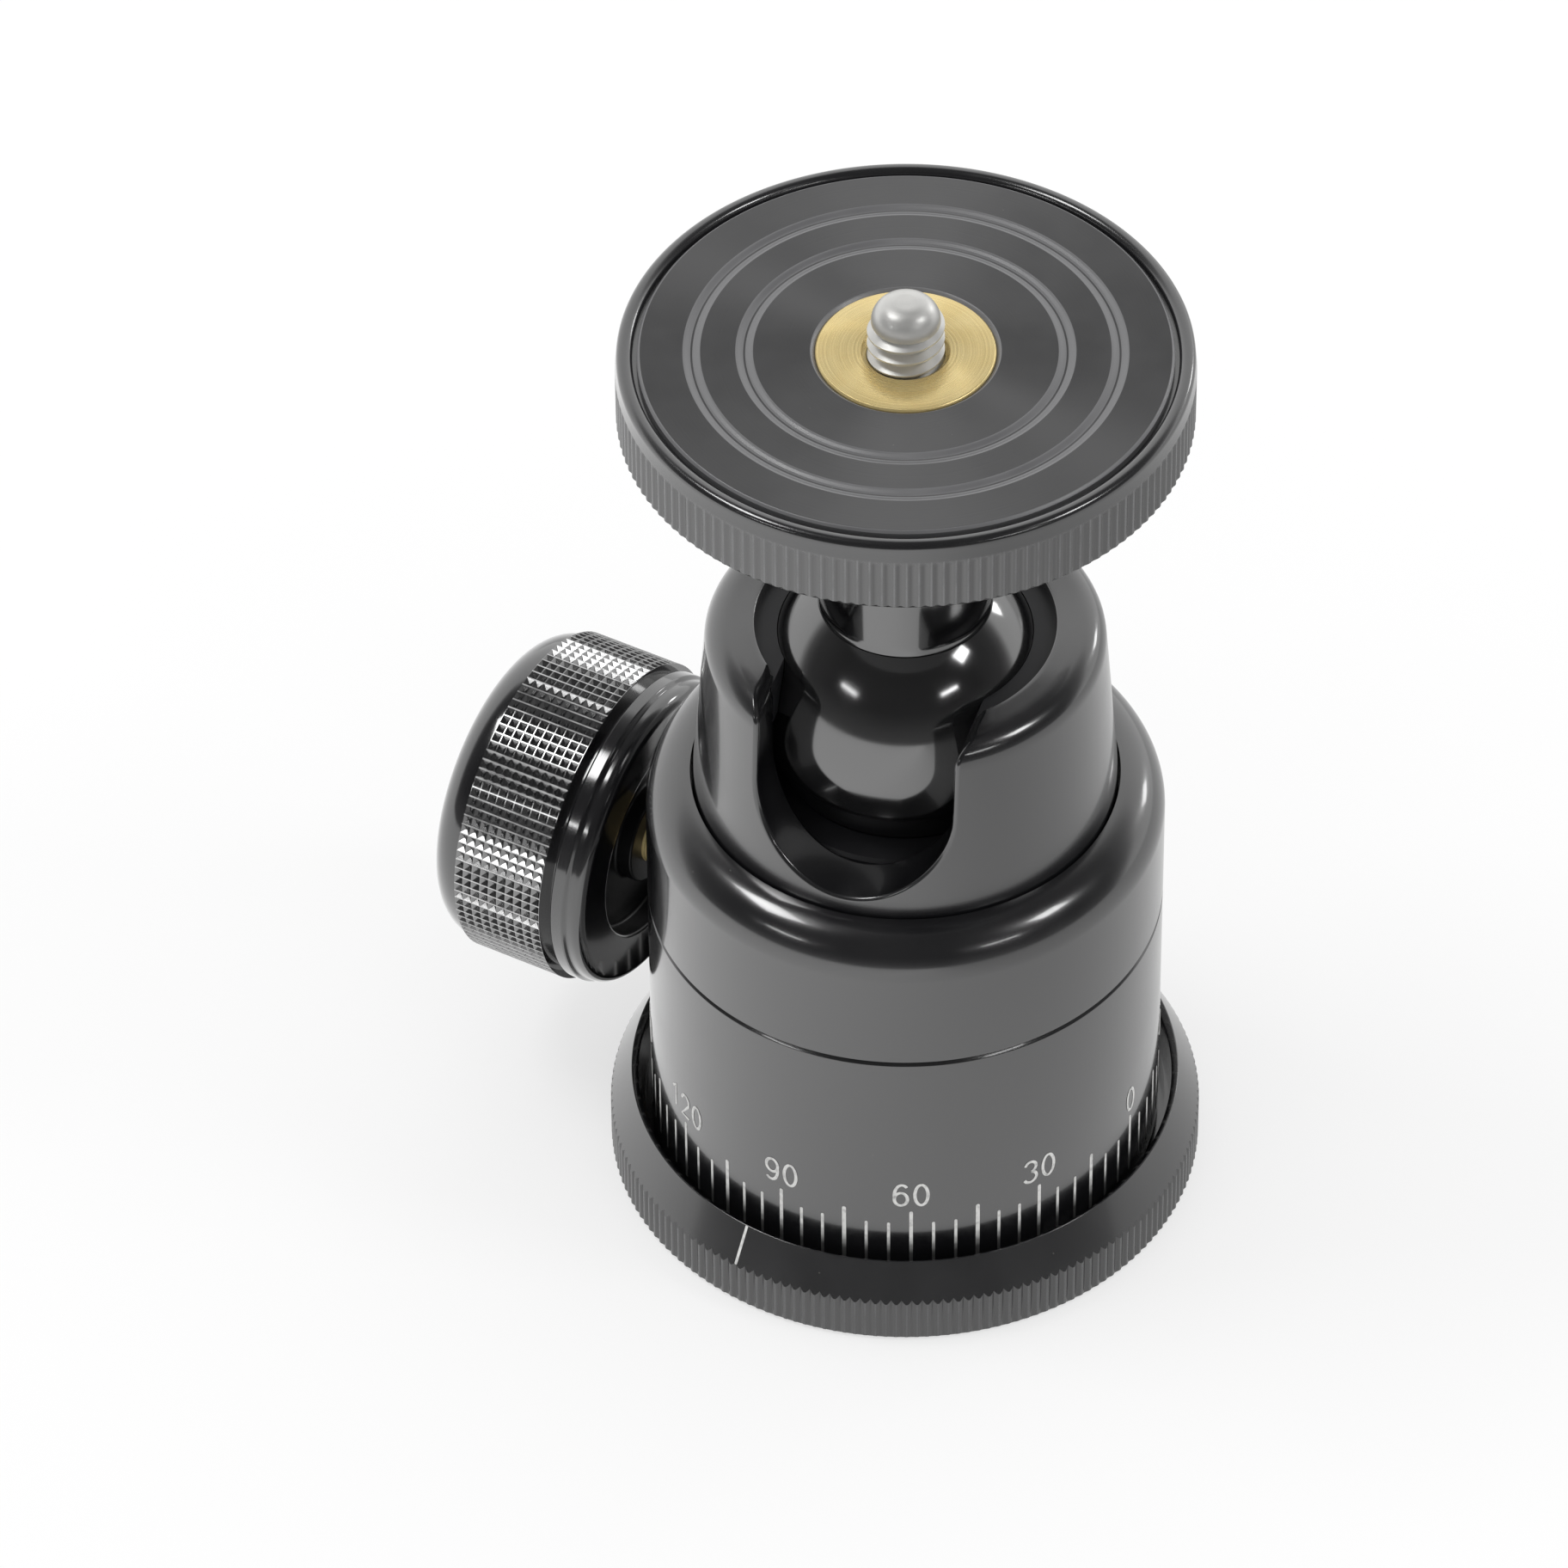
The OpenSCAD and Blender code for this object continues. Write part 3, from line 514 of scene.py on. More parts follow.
def makeDrum():
    d = drum
    bm = lathe(d, [
        ("journal", "web"), ("skirt", "web"), ("skirt", "bottom"), (d["outer"] - d["edge"], "bottom"),
        ("outer", d["bottom"] + d["edge"], 0.1), ("outer", d["seam"] - d["chamfer"], 0.05),
        (d["outer"] - d["chamfer"], "seam"), ("collarBore", "seam"), ("collarBore", "spigotTop"),
        ("guide", "spigotTop"), ("guide", "webTop"), ("journal", "webTop"),
    ], steps=360, segments=3)
    cutter = lathe(d, [
        (0, "pinHoleStart"), ("pinHole", "pinHoleStart"), ("pinHole", "pinStop"), ("shaftHole", "pinStop"),
        ("shaftHole", "shaftHoleEnd"), (0, "shaftHoleEnd"),
    ], steps=48)
    moveTo(cutter, alongKnob)
    finishPiece(carve(bm, cutter), "scaleDrum", "body", ["body"], ["scale_drum"])


collar = {
    "outer": 22.0, "bottom": 29.9, "chamfer": 0.25, "bore": 19.6, "lip": 18.2, "flangeTop": 36.7, "top": 43.3,
    "shoulder": 3.8,
}


def makeCollar():
    d = collar
    bm = lathe(d, [
        ("bore", "bottom"), (d["outer"] - d["chamfer"], "bottom"), ("outer", d["bottom"] + d["chamfer"], 0.05),
        ("outer", "top", "shoulder"), ("lip", "top"), ("lip", "flangeTop"), ("bore", "flangeTop"),
    ], steps=360, segments=16)
    finishPiece(bm, "bodyCollar", "body", ["body"], ["body_collar"])


makeDrum()
makeCollar()
print("drum and collar")


# ball housing with the neck slot

housing = {
    "bore": 13.3, "flange": 19.55, "flangeBottom": 33.0, "flangeTop": 36.7, "foot": 18.0, "collarTop": 43.3,
    "topOuter": 16.8, "top": 60.6, "edge": 2.0, "rows": 42, "rowGap": 0.3, "around": 320, "lip": 12.6,
    "lipBottom": 59.4, "lipRows": (0.6, 0.3, 0), "dish": 0.25, "dishRows": (14.2, 13.8, 13.4, 13.1), "slotHalf": 8.4,
    "slotMiddle": 53.2, "mouth": 2.2, "mouthRise": 0.15, "slotEdge": 0.35, "edgeSteps": 5, "seamRadius": 14.0,
    "nudge": 0.001, "behind": 9.0,
}


# how far a point seen from the front lies outside the slot
def outsideSlot(x, z):
    d = housing
    x, curl = abs(x), d["top"] - d["mouth"] + d["mouthRise"]
    if z < d["slotMiddle"]:
        return hypot(x, z - d["slotMiddle"]) - d["slotHalf"]
    if z > curl and x < d["slotHalf"] + d["mouth"]:
        return d["mouth"] - hypot(x - d["slotHalf"] - d["mouth"], z - curl)
    return x - d["slotHalf"]


def intoSlot(point):
    x, z, nudge = point.x, point.z, housing["nudge"]
    here = outsideSlot(x, z)
    return Vector((here - outsideSlot(x + nudge, z), 0, here - outsideSlot(x, z + nudge))).normalized()


# how far a point of the turned skin lies outside the line where the slot's rounded edge starts
def outsideEdge(point, normal):
    return outsideSlot(point.x, point.z) - housing["slotEdge"] * (1 - normal.dot(intoSlot(point)))


# opens the slot in the turned shell: points beside its edge move onto it, faces inside it go, then a rounded edge
# and the wall are built; everything behind the axis counts as far outside
def openSlot(bm):
    d = housing
    bm.normal_update()
    skin = {v: v.normal.copy() for v in bm.verts}
    level = {v: d["behind"] if v.co.y > 0 else outsideEdge(v.co, skin[v]) for v in bm.verts}
    moves = {}
    for edge in bm.edges:
        a, b = edge.verts
        if level[a] * level[b] < 0:
            part = level[a] / (level[a] - level[b])
            near, far, part = (a, b, part) if part < 0.5 else (b, a, 1 - part)
            shift = (far.co - near.co) * part
            if near not in moves or shift.length < moves[near][0].length:
                moves[near] = (shift, skin[near].lerp(skin[far], part).normalized())
    for vert, (shift, turned) in moves.items():
        vert.co += shift
        skin[vert] = turned
        level[vert] = 0.0
    for face in bm.faces[:]:
        levels = [level[v] for v in face.verts]
        if min(levels) < 0 < max(levels):
            ends = [v for v in face.verts if level[v] == 0]
            bmesh.utils.face_split(face, ends[0], ends[1])
    inside = []
    for face in bm.faces:
        levels = [level[v] for v in face.verts]
        if min(levels) < 0 or (max(levels) == 0 and outsideEdge(face.calc_center_median(), face.normal) < 0):
            inside.append(face)
    bmesh.ops.delete(bm, geom=inside, context="FACES")

    border = [e for e in bm.edges if e.is_boundary]
    ring = list(border[0].verts)
    while len(ring) < len(border):
        onward = [e.other_vert(ring[-1]) for e in ring[-1].link_edges if e.is_boundary]
        ring.append(next(v for v in onward if v != ring[-2]))
    shading = {v: skin[v] for v in ring}
    outer = ring
    for step in range(1, d["edgeSteps"] + 1):
        inner = []
        for vert in ring:
            centre = vert.co - d["slotEdge"] * skin[vert]
            facing = skin[vert].slerp(intoSlot(centre), step / d["edgeSteps"])
            inner.append(bm.verts.new(centre + d["slotEdge"] * facing))
            shading[inner[-1]] = facing
        for k in range(len(ring)):
            bm.faces.new((outer[k - 1], outer[k], inner[k], inner[k - 1]))
        outer = inner

    # the wall, sewn from one end of the slot's edge to the other, between its outside and its inside
    ends = []
    for side in (-1, 1):
        ends.append(min((k for k, v in enumerate(outer) if v.co.x * side > 0 and v.co.z > d["lipBottom"]),
                        key=lambda k: abs(hypot(outer[k].co.x, outer[k].co.y) - d["seamRadius"])))
    first, last = ends
    count = len(outer)
    chains = [[outer[(first + way * k) % count] for k in range((way * (last - first)) % count + 1)] for way in (1, -1)]
    at = [0, 0]
    while at[0] < len(chains[0]) - 1 or at[1] < len(chains[1]) - 1:
        gaps = []
        for side in (0, 1):
            if at[side] + 1 < len(chains[side]):
                ahead, across = chains[side][at[side] + 1].co, chains[1 - side][at[1 - side]].co
                gaps.append((hypot(ahead.x - across.x, ahead.z - across.z), side))
        side = min(gaps)[1]
        corners = {chains[0][at[0]], chains[1][at[1]], chains[side][at[side] + 1]}
        if len(corners) == 3:
            bm.faces.new(corners)
        at[side] += 1
    faceOutward(bm)
    return shading


def makeHousing():
    d = housing
    slant = (d["foot"] - d["topOuter"]) / (d["top"] - d["edge"] - d["collarTop"])
    rim = d["topOuter"] - slant * d["edge"]
    rise = d["top"] - d["edge"] - d["rowGap"] - d["collarTop"]
    rows = [d["collarTop"] + rise * row / d["rows"] for row in range(d["rows"] + 1)]
    outside = [("bore", "flangeBottom"), ("flange", "flangeBottom"), ("flange", "flangeTop"),
               ("foot", "flangeTop")] + [(d["foot"] - slant * (z - d["collarTop"]), z) for z in rows]
    dish = [(r, d["top"] - d["dish"] * (rim - r) / (rim - d["lip"])) for r in d["dishRows"]]
    lip = [("lip", d["top"] - d["dish"], 0.15)] + [("lip", d["lipBottom"] + up) for up in d["lipRows"]]
    inside = [("bore", "lipBottom")] + [("bore", z) for z in reversed(rows)]
    bm = lathe(d, outside + [(rim, "top", "edge")] + dish + lip + inside, steps=d["around"], segments=9)
    shading = openSlot(bm)
    bm.verts.index_update()
    facing = {v.index: n for v, n in shading.items()}
    piece = finishPiece(bm, "ballHousing", "body", ["body"], ["ball_housing"], weighted=False)
    piece.data.normals_split_custom_set([facing.get(loop.vertex_index, (0, 0, 0)) for loop in piece.data.loops])


makeHousing()
print("ball housing")


# ball and neck

ballNeck = {
    "ball": 12.7, "around": 160, "rows": 96, "centre": 52.5, "flat": 62.892, "foot": 7.3, "footBottom": 62.942,
    "footRise": 0.6, "neck": 7.1, "plate": 83.6423, "spigot": 6.0, "insert": 86.8423,
}


def makeBall():
    d = ballNeck
    bm = bmesh.new()
    bmesh.ops.create_uvsphere(bm, u_segments=d["around"], v_segments=d["rows"], radius=d["ball"])
    bmesh.ops.translate(bm, vec=(0, 0, d["centre"]), verts=bm.verts[:])
    bmesh.ops.bisect_plane(bm, geom=bm.verts[:] + bm.edges[:] + bm.faces[:], plane_co=(0, 0, d["flat"]),
                           plane_no=(0, 0, 1), clear_outer=True)
    bmesh.ops.holes_fill(bm, edges=[e for e in bm.edges if e.is_boundary])
    faceOutward(bm)
    finishPiece(bm, "ball", "ball", ["mirror"], ["ball"])


def makeNeck():
    d = ballNeck
    bm = lathe(d, [
        (0, "footBottom"), ("foot", "footBottom", 0.1), ("neck", d["footBottom"] + d["footRise"], 0.3),
        ("neck", "plate"), ("spigot", "plate"), ("spigot", "insert"), (0, "insert"),
    ], steps=d["around"], closed=False, segments=4)
    finishPiece(bm, "neck", "plate", ["mirror"], ["neck"])


makeBall()
makeNeck()
print("ball and neck")


# camera plate, its turned disc and the brass insert

plate = {
    "outer": 23.7, "bottom": 83.6423, "bandTop": 88.7423, "top": 90.4423, "edge": 0.3, "bead": 0.675, "beadAt": 22.925,
    "pocket": 22.25, "disc": 21.9, "discBottom": 89.2423, "discEdge": 0.2, "grooveBottom": 89.6423, "insert": 7.4,
    "insertBottom": 86.8423, "spigot": 6.0, "teeth": 150, "toothDepth": 0.17, "toothFade": 0.4, "knurlDepth": 0.27,
    "rings": (13.15, 17.45), "ringWidth": 1.2, "ringDepth": 0.2, "screw": 3.175, "screwPlay": 0.05,
}


def makePlate():
    d = plate
    bm = lathe(d, [
        ("spigot", "bottom"), (d["outer"] - d["edge"], "bottom"), ("outer", d["bottom"] + d["edge"]),
        ("outer", d["bandTop"] - d["toothFade"]), ("outer", d["bandTop"] - d["toothFade"] / 2),
        ("outer", "bandTop", 0.1), (d["beadAt"] + d["bead"], d["top"] - d["bead"] - 0.05),
        (d["beadAt"] + d["bead"], "top", 0.6), (d["beadAt"] - d["bead"], "top", 0.6), ("pocket", "grooveBottom"),
        ("disc", "grooveBottom"), ("disc", "discBottom"), ("insert", "discBottom"), ("insert", "insertBottom"),
        ("spigot", "insertBottom"),
    ], steps=d["teeth"] * len(toothShape), segments=6)
    knurlStraight(bm, d, fade=d["toothFade"])
    markBand(bm, d["outer"] - d["knurlDepth"], d["bandTop"])
    finishPiece(bm, "cameraPlate", "plate", ["body", "plateKnurl"], ["camera_plate"], sharp=42)


def makeDisc():
    d = plate
    half, narrow, floor = d["ringWidth"] / 2, d["ringWidth"] / 6, d["top"] - d["ringDepth"]
    corners = [("insert", "discBottom"), ("disc", "discBottom"), ("disc", d["top"] - d["discEdge"]),
               (d["disc"] - d["discEdge"], "top", 0.05)]
    for ring in sorted(d["rings"], reverse=True):
        corners += [(ring + half, "top", 0.12), (ring + narrow, floor, 0.12), (ring - narrow, floor, 0.12),
                    (ring - half, "top", 0.12)]
    corners += [(d["insert"] + 0.35, "top", 0.05), ("insert", d["top"] - 0.3)]
    bm = lathe(d, corners, steps=360, segments=3)
    # every face that is not flat gets the pale groove finish, a painted highlight
    for face in bm.faces:
        if face.normal.z < 0.999:
            face.material_index = 1
    finishPiece(bm, "platformDisc", "plate", ["faced", "groove"], ["platform_disc"])


def makeInsert():
    d = plate
    bore = d["screw"] + d["screwPlay"]
    bm = lathe(d, [
        (bore, "insertBottom"), ("insert", "insertBottom"), ("insert", d["top"] - 0.15, 0.05),
        (d["insert"] - 0.18, "top", 0.05), (d["screw"] + 0.5, "top", 0.05), (bore, d["top"] - 0.4),
    ], segments=2)
    finishPiece(bm, "brassInsert", "plate", ["brass"], ["brass_insert"])


makePlate()
makeDisc()
makeInsert()
print("camera plate")


# locking knob, built upright and then laid along its own axis; its front collar is given as radii and how far they
# lie in front of the knurled band

knob = {
    "start": 24.2, "crest": 14.5, "recess": 9.2, "recessDepth": 2.0, "hub": 4.4, "hubTop": 0.4, "bore": 2.5,
    "boreEnd": 10.3, "screwHole": 1.5, "headHole": 2.85, "headStart": 11.3, "capSeat": 14.3, "cap": 9.0,
    "capPlay": 0.02, "length": 15.5, "edgeRadius": 3.2, "rim": 14.1, "face": 13.8,
    "collar": ((13.8, 2.3), (14.1, 2.0), (14.1, 0.9), (13.5, 0.7)), "groove": 13.5, "bandStart": 3.7, "bandEnd": 12.1,
    "around": 107, "rows": 10, "pitDepth": 0.34, "ridge": 0.05, "recessOver": 0.1,
}


def makeKnob():
    d = knob
    pitch = (d["bandEnd"] - d["bandStart"]) / d["rows"]
    front = [("bore", "hubTop"), ("hub", "hubTop", 0.2), ("hub", "recessDepth", 0.3),
             ("recess", "recessDepth", 0.3), ("recess", 0, 0.3), ("face", 0, 1.0)]
    front += [(r, d["bandStart"] - ahead, 0.1) for r, ahead in d["collar"]] + [("groove", "bandStart")]
    band = [("crest", d["bandStart"] + pitch * row) for row in range(d["rows"] + 1)]
    bm = lathe(d, front + band + [
        ("rim", d["bandEnd"] + 0.05), ("rim", "length", "edgeRadius"), ("cap", "length", 0.08), ("cap", "capSeat"),
        ("headHole", "capSeat"), ("headHole", "headStart"), ("screwHole", "headStart"), ("screwHole", "boreEnd"),
        ("bore", "boreEnd"),
    ], steps=d["around"], segments=10)
    # faces in the recess get the duller finish, whose darker black is painted shade
    for face in bm.faces:
        middle = face.calc_center_median()
        inRecess = hypot(middle.x, middle.y) < d["recess"] + d["recessOver"]
        if inRecess and middle.z < d["recessDepth"] + d["recessOver"]:
            face.material_index = 2
    pits = [f for f in bm.faces if all(hypot(v.co.x, v.co.y) > d["crest"] - closeBy for v in f.verts)]
    ridges = bmesh.ops.inset_individual(bm, faces=pits, thickness=d["ridge"], use_even_offset=True)["faces"]
    for face in ridges + pits:
        face.material_index = 1
    bmesh.ops.poke(bm, faces=pits, offset=-d["pitDepth"], center_mode="MEAN")
    bmesh.ops.translate(bm, vec=(0, 0, d["start"]), verts=bm.verts[:])
    finishPiece(bm, "knobGrip", "knob", ["knobBody", "knobKnurl", "recess"], ["knob_grip"],
                place=alongKnob, sharp=34)


def makeKnobCap():
    d = knob
    edge, top = d["cap"] - d["capPlay"], d["length"] - d["capPlay"]
    bm = lathe(d, [(0, "capSeat"), (edge, "capSeat"), (edge, top, 0.15), (0, top)], closed=False, segments=3)
    bmesh.ops.translate(bm, vec=(0, 0, d["start"]), verts=bm.verts[:])
    finishPiece(bm, "knobCap", "knob", ["knobMirror"], ["knob_cap"], place=alongKnob)


shaft = {
    "start": 14.907, "stop": 34.5, "crest": 2.5, "core": 2.0, "pitch": 0.8, "shoulder": 21.0, "threadFrom": 15.407,
    "threadTo": 20.6, "screw": 1.5, "screwStart": 27.5,
}


def makeShaft():
    d = shaft
    bm = lathe(d, [
        (0, "start"), ("core", "start"), ("core", "shoulder"), ("crest", "shoulder", 0.2), ("crest", "stop"),
        ("screw", "stop"), ("screw", "screwStart"), (0, "screwStart"),
    ], steps=72, closed=False, segments=2)
    windThread(bm, d)
    finishPiece(bm, "knobShaft", "knob", ["knobBrass"], ["knob_shaft"], place=alongKnob)


makeKnob()
makeKnobCap()
makeShaft()
print("locking knob")


# camera screw: 1/4 inch, 20 threads to the inch, domed at the tip

cameraScrew = {
    "bottom": 77.8423, "crest": 3.175, "core": 2.48, "pitch": 1.27, "reliefBottom": 85.0, "reliefTop": 85.2,
    "threadFrom": 85.5, "threadTo": 93.35, "taper": 0.25, "tipEdge": 0.15, "dome": 2.85, "domeHeight": 2.0,
    "top": 95.6423,
}


def makeCameraScrew():
    d = cameraScrew
    neckline = d["top"] - d["domeHeight"] - d["tipEdge"]
    bm = lathe(d, [
        (0, "bottom"), ("crest", "bottom"), ("crest", "reliefBottom"), ("core", "reliefTop"),
        ("core", neckline - d["taper"]), ("dome", neckline, 0.1), ("dome", "top", "domeHeight"), (0, "top"),
    ], steps=96, closed=False, segments=12)
    windThread(bm, d, perTurn=60)
    finishPiece(bm, "cameraScrew", "plate", ["steel"], ["camera_screw"])


makeCameraScrew()
print("camera screw")


# degree scale on the drum and the index line on the base

scale = {
    "radius": 22.0, "paint": 0.02, "zeroAzimuth": -12, "marks": 72, "bottom": 5.5, "longTop": 12.1, "shortTop": 10.7,
    "longWidth": 0.31, "middleWidth": 0.35, "shortWidth": 0.26, "numberEvery": 30, "digitHeight": 2.8,
    "digitStroke": 0.29, "digitFlatness": 0.25, "digitBottom": 12.7, "digitStep": 1.75, "arcStep": 12,
}


def scalePlace(azimuth, z=0.0):
    return (turn(azimuth, "Z") @ Matrix.Translation((scale["radius"] + scale["paint"], 0, z))
            @ turn(90, "Z") @ turn(90, "X"))


# one painted line from low to high, rounded at its upper end and let into the metal
def addStroke(bm, width, low, high, place, thickness=0.08):
    half = width / 2
    corners = [bm.verts.new(c) for c in ((-half, low, 0), (half, low, 0), (half, high, 0), (-half, high, 0))]
    for pair in zip(corners, corners[1:] + corners[:1]):
        bm.edges.new(pair)
    rounded = bmesh.ops.bevel(bm, geom=corners[2:], offset=half * 0.98, offset_type="OFFSET", affect="VERTICES",
                              segments=4, profile=0.5, material=-1)
    loop = {e for v in corners[:2] + rounded["verts"] if v.is_valid for e in v.link_edges}
    face = bmesh.ops.contextual_create(bm, geom=list(loop))["faces"]
    grown = bmesh.ops.extrude_face_region(bm, geom=face)["geom"]
    grownVerts = [g for g in grown if isinstance(g, bmesh.types.BMVert)]
    bmesh.ops.translate(bm, vec=(0, 0, -thickness), verts=grownVerts)
    own = {v for f in face if f.is_valid for v in f.verts} | set(grownVerts)
    own |= {v for e in loop if e.is_valid for v in e.verts}
    bmesh.ops.transform(bm, matrix=place, verts=list(own))


# centre lines of the numerals, on a height of 1: points, and arcs as (centre x, centre z, radius x, radius z, from, to)
numerals = {
    "0": [[(0, 0.5, 0.2, 0.44, 90, 450)]],
    "1": [[(-0.14, 0.77), (0.03, 0.94), (0.03, 0.06)]],
    "2": [[(0, 0.7, 0.2, 0.24, 172, -28), (-0.21, 0.06), (0.21, 0.06)]],
    "3": [[(-0.01, 0.72, 0.19, 0.22, 160, -80)], [(-0.01, 0.285, 0.21, 0.225, 80, -160)]],
    "4": [[(0.09, 0.06), (0.09, 0.94), (-0.22, 0.29), (0.22, 0.29)]],
    "5": [[(0.19, 0.94), (-0.15, 0.94), (-0.18, 0.5), (0, 0.345, 0.205, 0.285, 140, -155)]],
    "6": [[(0, 0.33, 0.2, 0.27, 90, 450)], [(0.03, 0.5, 0.23, 0.44, 50, 190)]],
    "7": [[(-0.2, 0.94), (0.21, 0.94), (-0.06, 0.06)]],
    "8": [[(0, 0.72, 0.175, 0.22, 90, 450)], [(0, 0.28, 0.2, 0.22, 90, 450)]],
    "9": [[(0, 0.67, 0.2, 0.27, 90, 450)], [(-0.03, 0.5, 0.23, 0.44, 230, 370)]],
}


def numeralMesh(digit, height, stroke):
    curve = bpy.data.curves.new("numeral", "CURVE")
    curve.dimensions = "3D"
    curve.bevel_depth = stroke / 2
    curve.bevel_resolution = 1
    curve.use_fill_caps = True
    for line in numerals[digit]:
        points = []
        for part in line:
            if len(part) == 2:
                points.append(part)
            else:
                x, z, across, up, start, stop = part
                steps = max(4, round(abs(stop - start) / scale["arcStep"]))
                angles = [radians(start + (stop - start) * step / steps) for step in range(steps + 1)]
                points += [(x + across * cos(a), z + up * sin(a)) for a in angles]
        spline = curve.splines.new("POLY")
        spline.points.add(len(points) - 1)
        for point, (x, z) in zip(spline.points, points):
            point.co = (x * height, z * height, 0, 1)
    drawn = bpy.data.objects.new("numeral", curve)
    mesh = bpy.data.meshes.new_from_object(drawn)
    bpy.data.objects.remove(drawn)
    return mesh


# every third mark is long, and the ones under a number are a little thinner
def makeScale():
    d = scale
    bm = bmesh.new()
    for mark in range(d["marks"]):
        if mark % 3:
            width, top = d["shortWidth"], d["shortTop"]
        else:
            width, top = d["middleWidth"] if mark % 6 else d["longWidth"], d["longTop"]
        addStroke(bm, width, d["bottom"], top, scalePlace(d["zeroAzimuth"] - 360 // d["marks"] * mark))
    for number in range(0, 360, d["numberEvery"]):
        text = str(number)
        for index, digit in enumerate(text):
            offset = (index - (len(text) - 1) / 2) * d["digitStep"]
            azimuth = d["zeroAzimuth"] - number + degrees(offset / d["radius"])
            part = bmesh.new()
            part.from_mesh(numeralMesh(digit, d["digitHeight"], d["digitStroke"]))
            bmesh.ops.scale(part, vec=(1, 1, d["digitFlatness"]), verts=part.verts[:])
            moveTo(part, scalePlace(azimuth, d["digitBottom"]))
            bm.from_mesh(toMesh(part, "digit"))
    faceOutward(bm)
    finishPiece(bm, "degreeScale", "body", ["paint"], weighted=False)


indexLine = {"azimuth": -108, "width": 0.25, "lowGap": 0.1, "highGap": 0.2, "paint": 0.02}


# lies on the base ring's bevel
def makeIndexLine():
    d = indexLine
    bm = bmesh.new()
    run, rise = baseRing["bevelWidth"], baseRing["top"] - baseRing["bandTop"]
    half = hypot(run, rise) / 2
    middle = (baseRing["outer"] - run / 2, 0, (baseRing["top"] + baseRing["bandTop"]) / 2)
    place = (turn(d["azimuth"], "Z") @ Matrix.Translation(middle)
             @ Matrix.Rotation(atan2(rise, run), 4, "Y") @ turn(-90, "Z"))
    addStroke(bm, d["width"], d["lowGap"] - half, half - d["highGap"], place @ Matrix.Translation((0, 0, d["paint"])))
    faceOutward(bm)
    finishPiece(bm, "indexLine", "base", ["paint"], weighted=False)


makeScale()
makeIndexLine()
print("scale and index line")


# inner parts keep their own shape and get their finish

keptFinish = {
    "steel": ("base_screws", "spindle_nut", "lock_pin", "disc_springs", "knob_screw", "neck_stud", "plate_pins"),
    "nylon": ("lower_washer", "upper_washer", "upper_seat", "ball_seat"),
    "brass": ("brake_shoe", "seat_plunger"),
}
for finishName, nodeNames in keptFinish.items():
    for nodeName in nodeNames:
        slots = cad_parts[nodeName].data.materials
        slots.clear()
        slots.append(finish[finishName])
print("inner parts finished")


# floor, lights and camera

# white paper that glows when gloss sees it, brightest towards brightAzimuth
def makeFloor():
    look = {
        "size": 4, "drop": 0.05, "white": 0.9, "brightAzimuth": -150, "reach": 0.06, "dimming": 0.4, "inGloss": 0.85,
        "inView": 0.6,
    }
    bm = bmesh.new()
    bmesh.ops.create_grid(bm, x_segments=1, y_segments=1, size=look["size"])
    bmesh.ops.translate(bm, vec=(0, 0, -look["drop"] * millimetre), verts=bm.verts[:])
    paper = bpy.data.materials.new("white paper sweep")
    tree = emptyTree(paper)
    matte = addNode(tree, "BsdfDiffuse", {"Color": (look["white"],) * 3 + (1,)})
    ray = addNode(tree, "LightPath").outputs
    azimuth = radians(look["brightAzimuth"])
    toward = addNode(tree, "VectorMath", {
        0: addNode(tree, "TexCoord").outputs["Object"], 1: (cos(azimuth), sin(azimuth), 0)}, operation="DOT_PRODUCT")
    falloff = addNode(tree, "MapRange", {
        "Value": toward.outputs["Value"], "From Min": -look["reach"], "From Max": look["reach"],
        "To Min": look["dimming"], "To Max": 0.0}, interpolation_type="SMOOTHSTEP")
    dimmed = addNode(tree, "Math", {0: falloff, 1: ray["Is Glossy Ray"]}, operation="MULTIPLY")
    strength = addNode(tree, "Math", {0: 1.0, 1: dimmed}, operation="SUBTRACT")
    glow = addNode(tree, "Emission", {"Color": (1, 1, 1, 1), "Strength": strength})
    seen = addNode(tree, "Math", {0: ray["Is Camera Ray"], 1: look["inView"]}, operation="MULTIPLY")
    share = addNode(tree, "Math", {0: ray["Is Glossy Ray"], 1: look["inGloss"], 2: seen}, operation="MULTIPLY_ADD")
    mix = addNode(tree, "MixShader", {0: share, 1: matte, 2: glow})
    addNode(tree, "OutputMaterial", {"Surface": mix})
    mesh = toMesh(bm, "floor")
    mesh.materials.append(paper)
    sweep = addObject("floor", mesh)


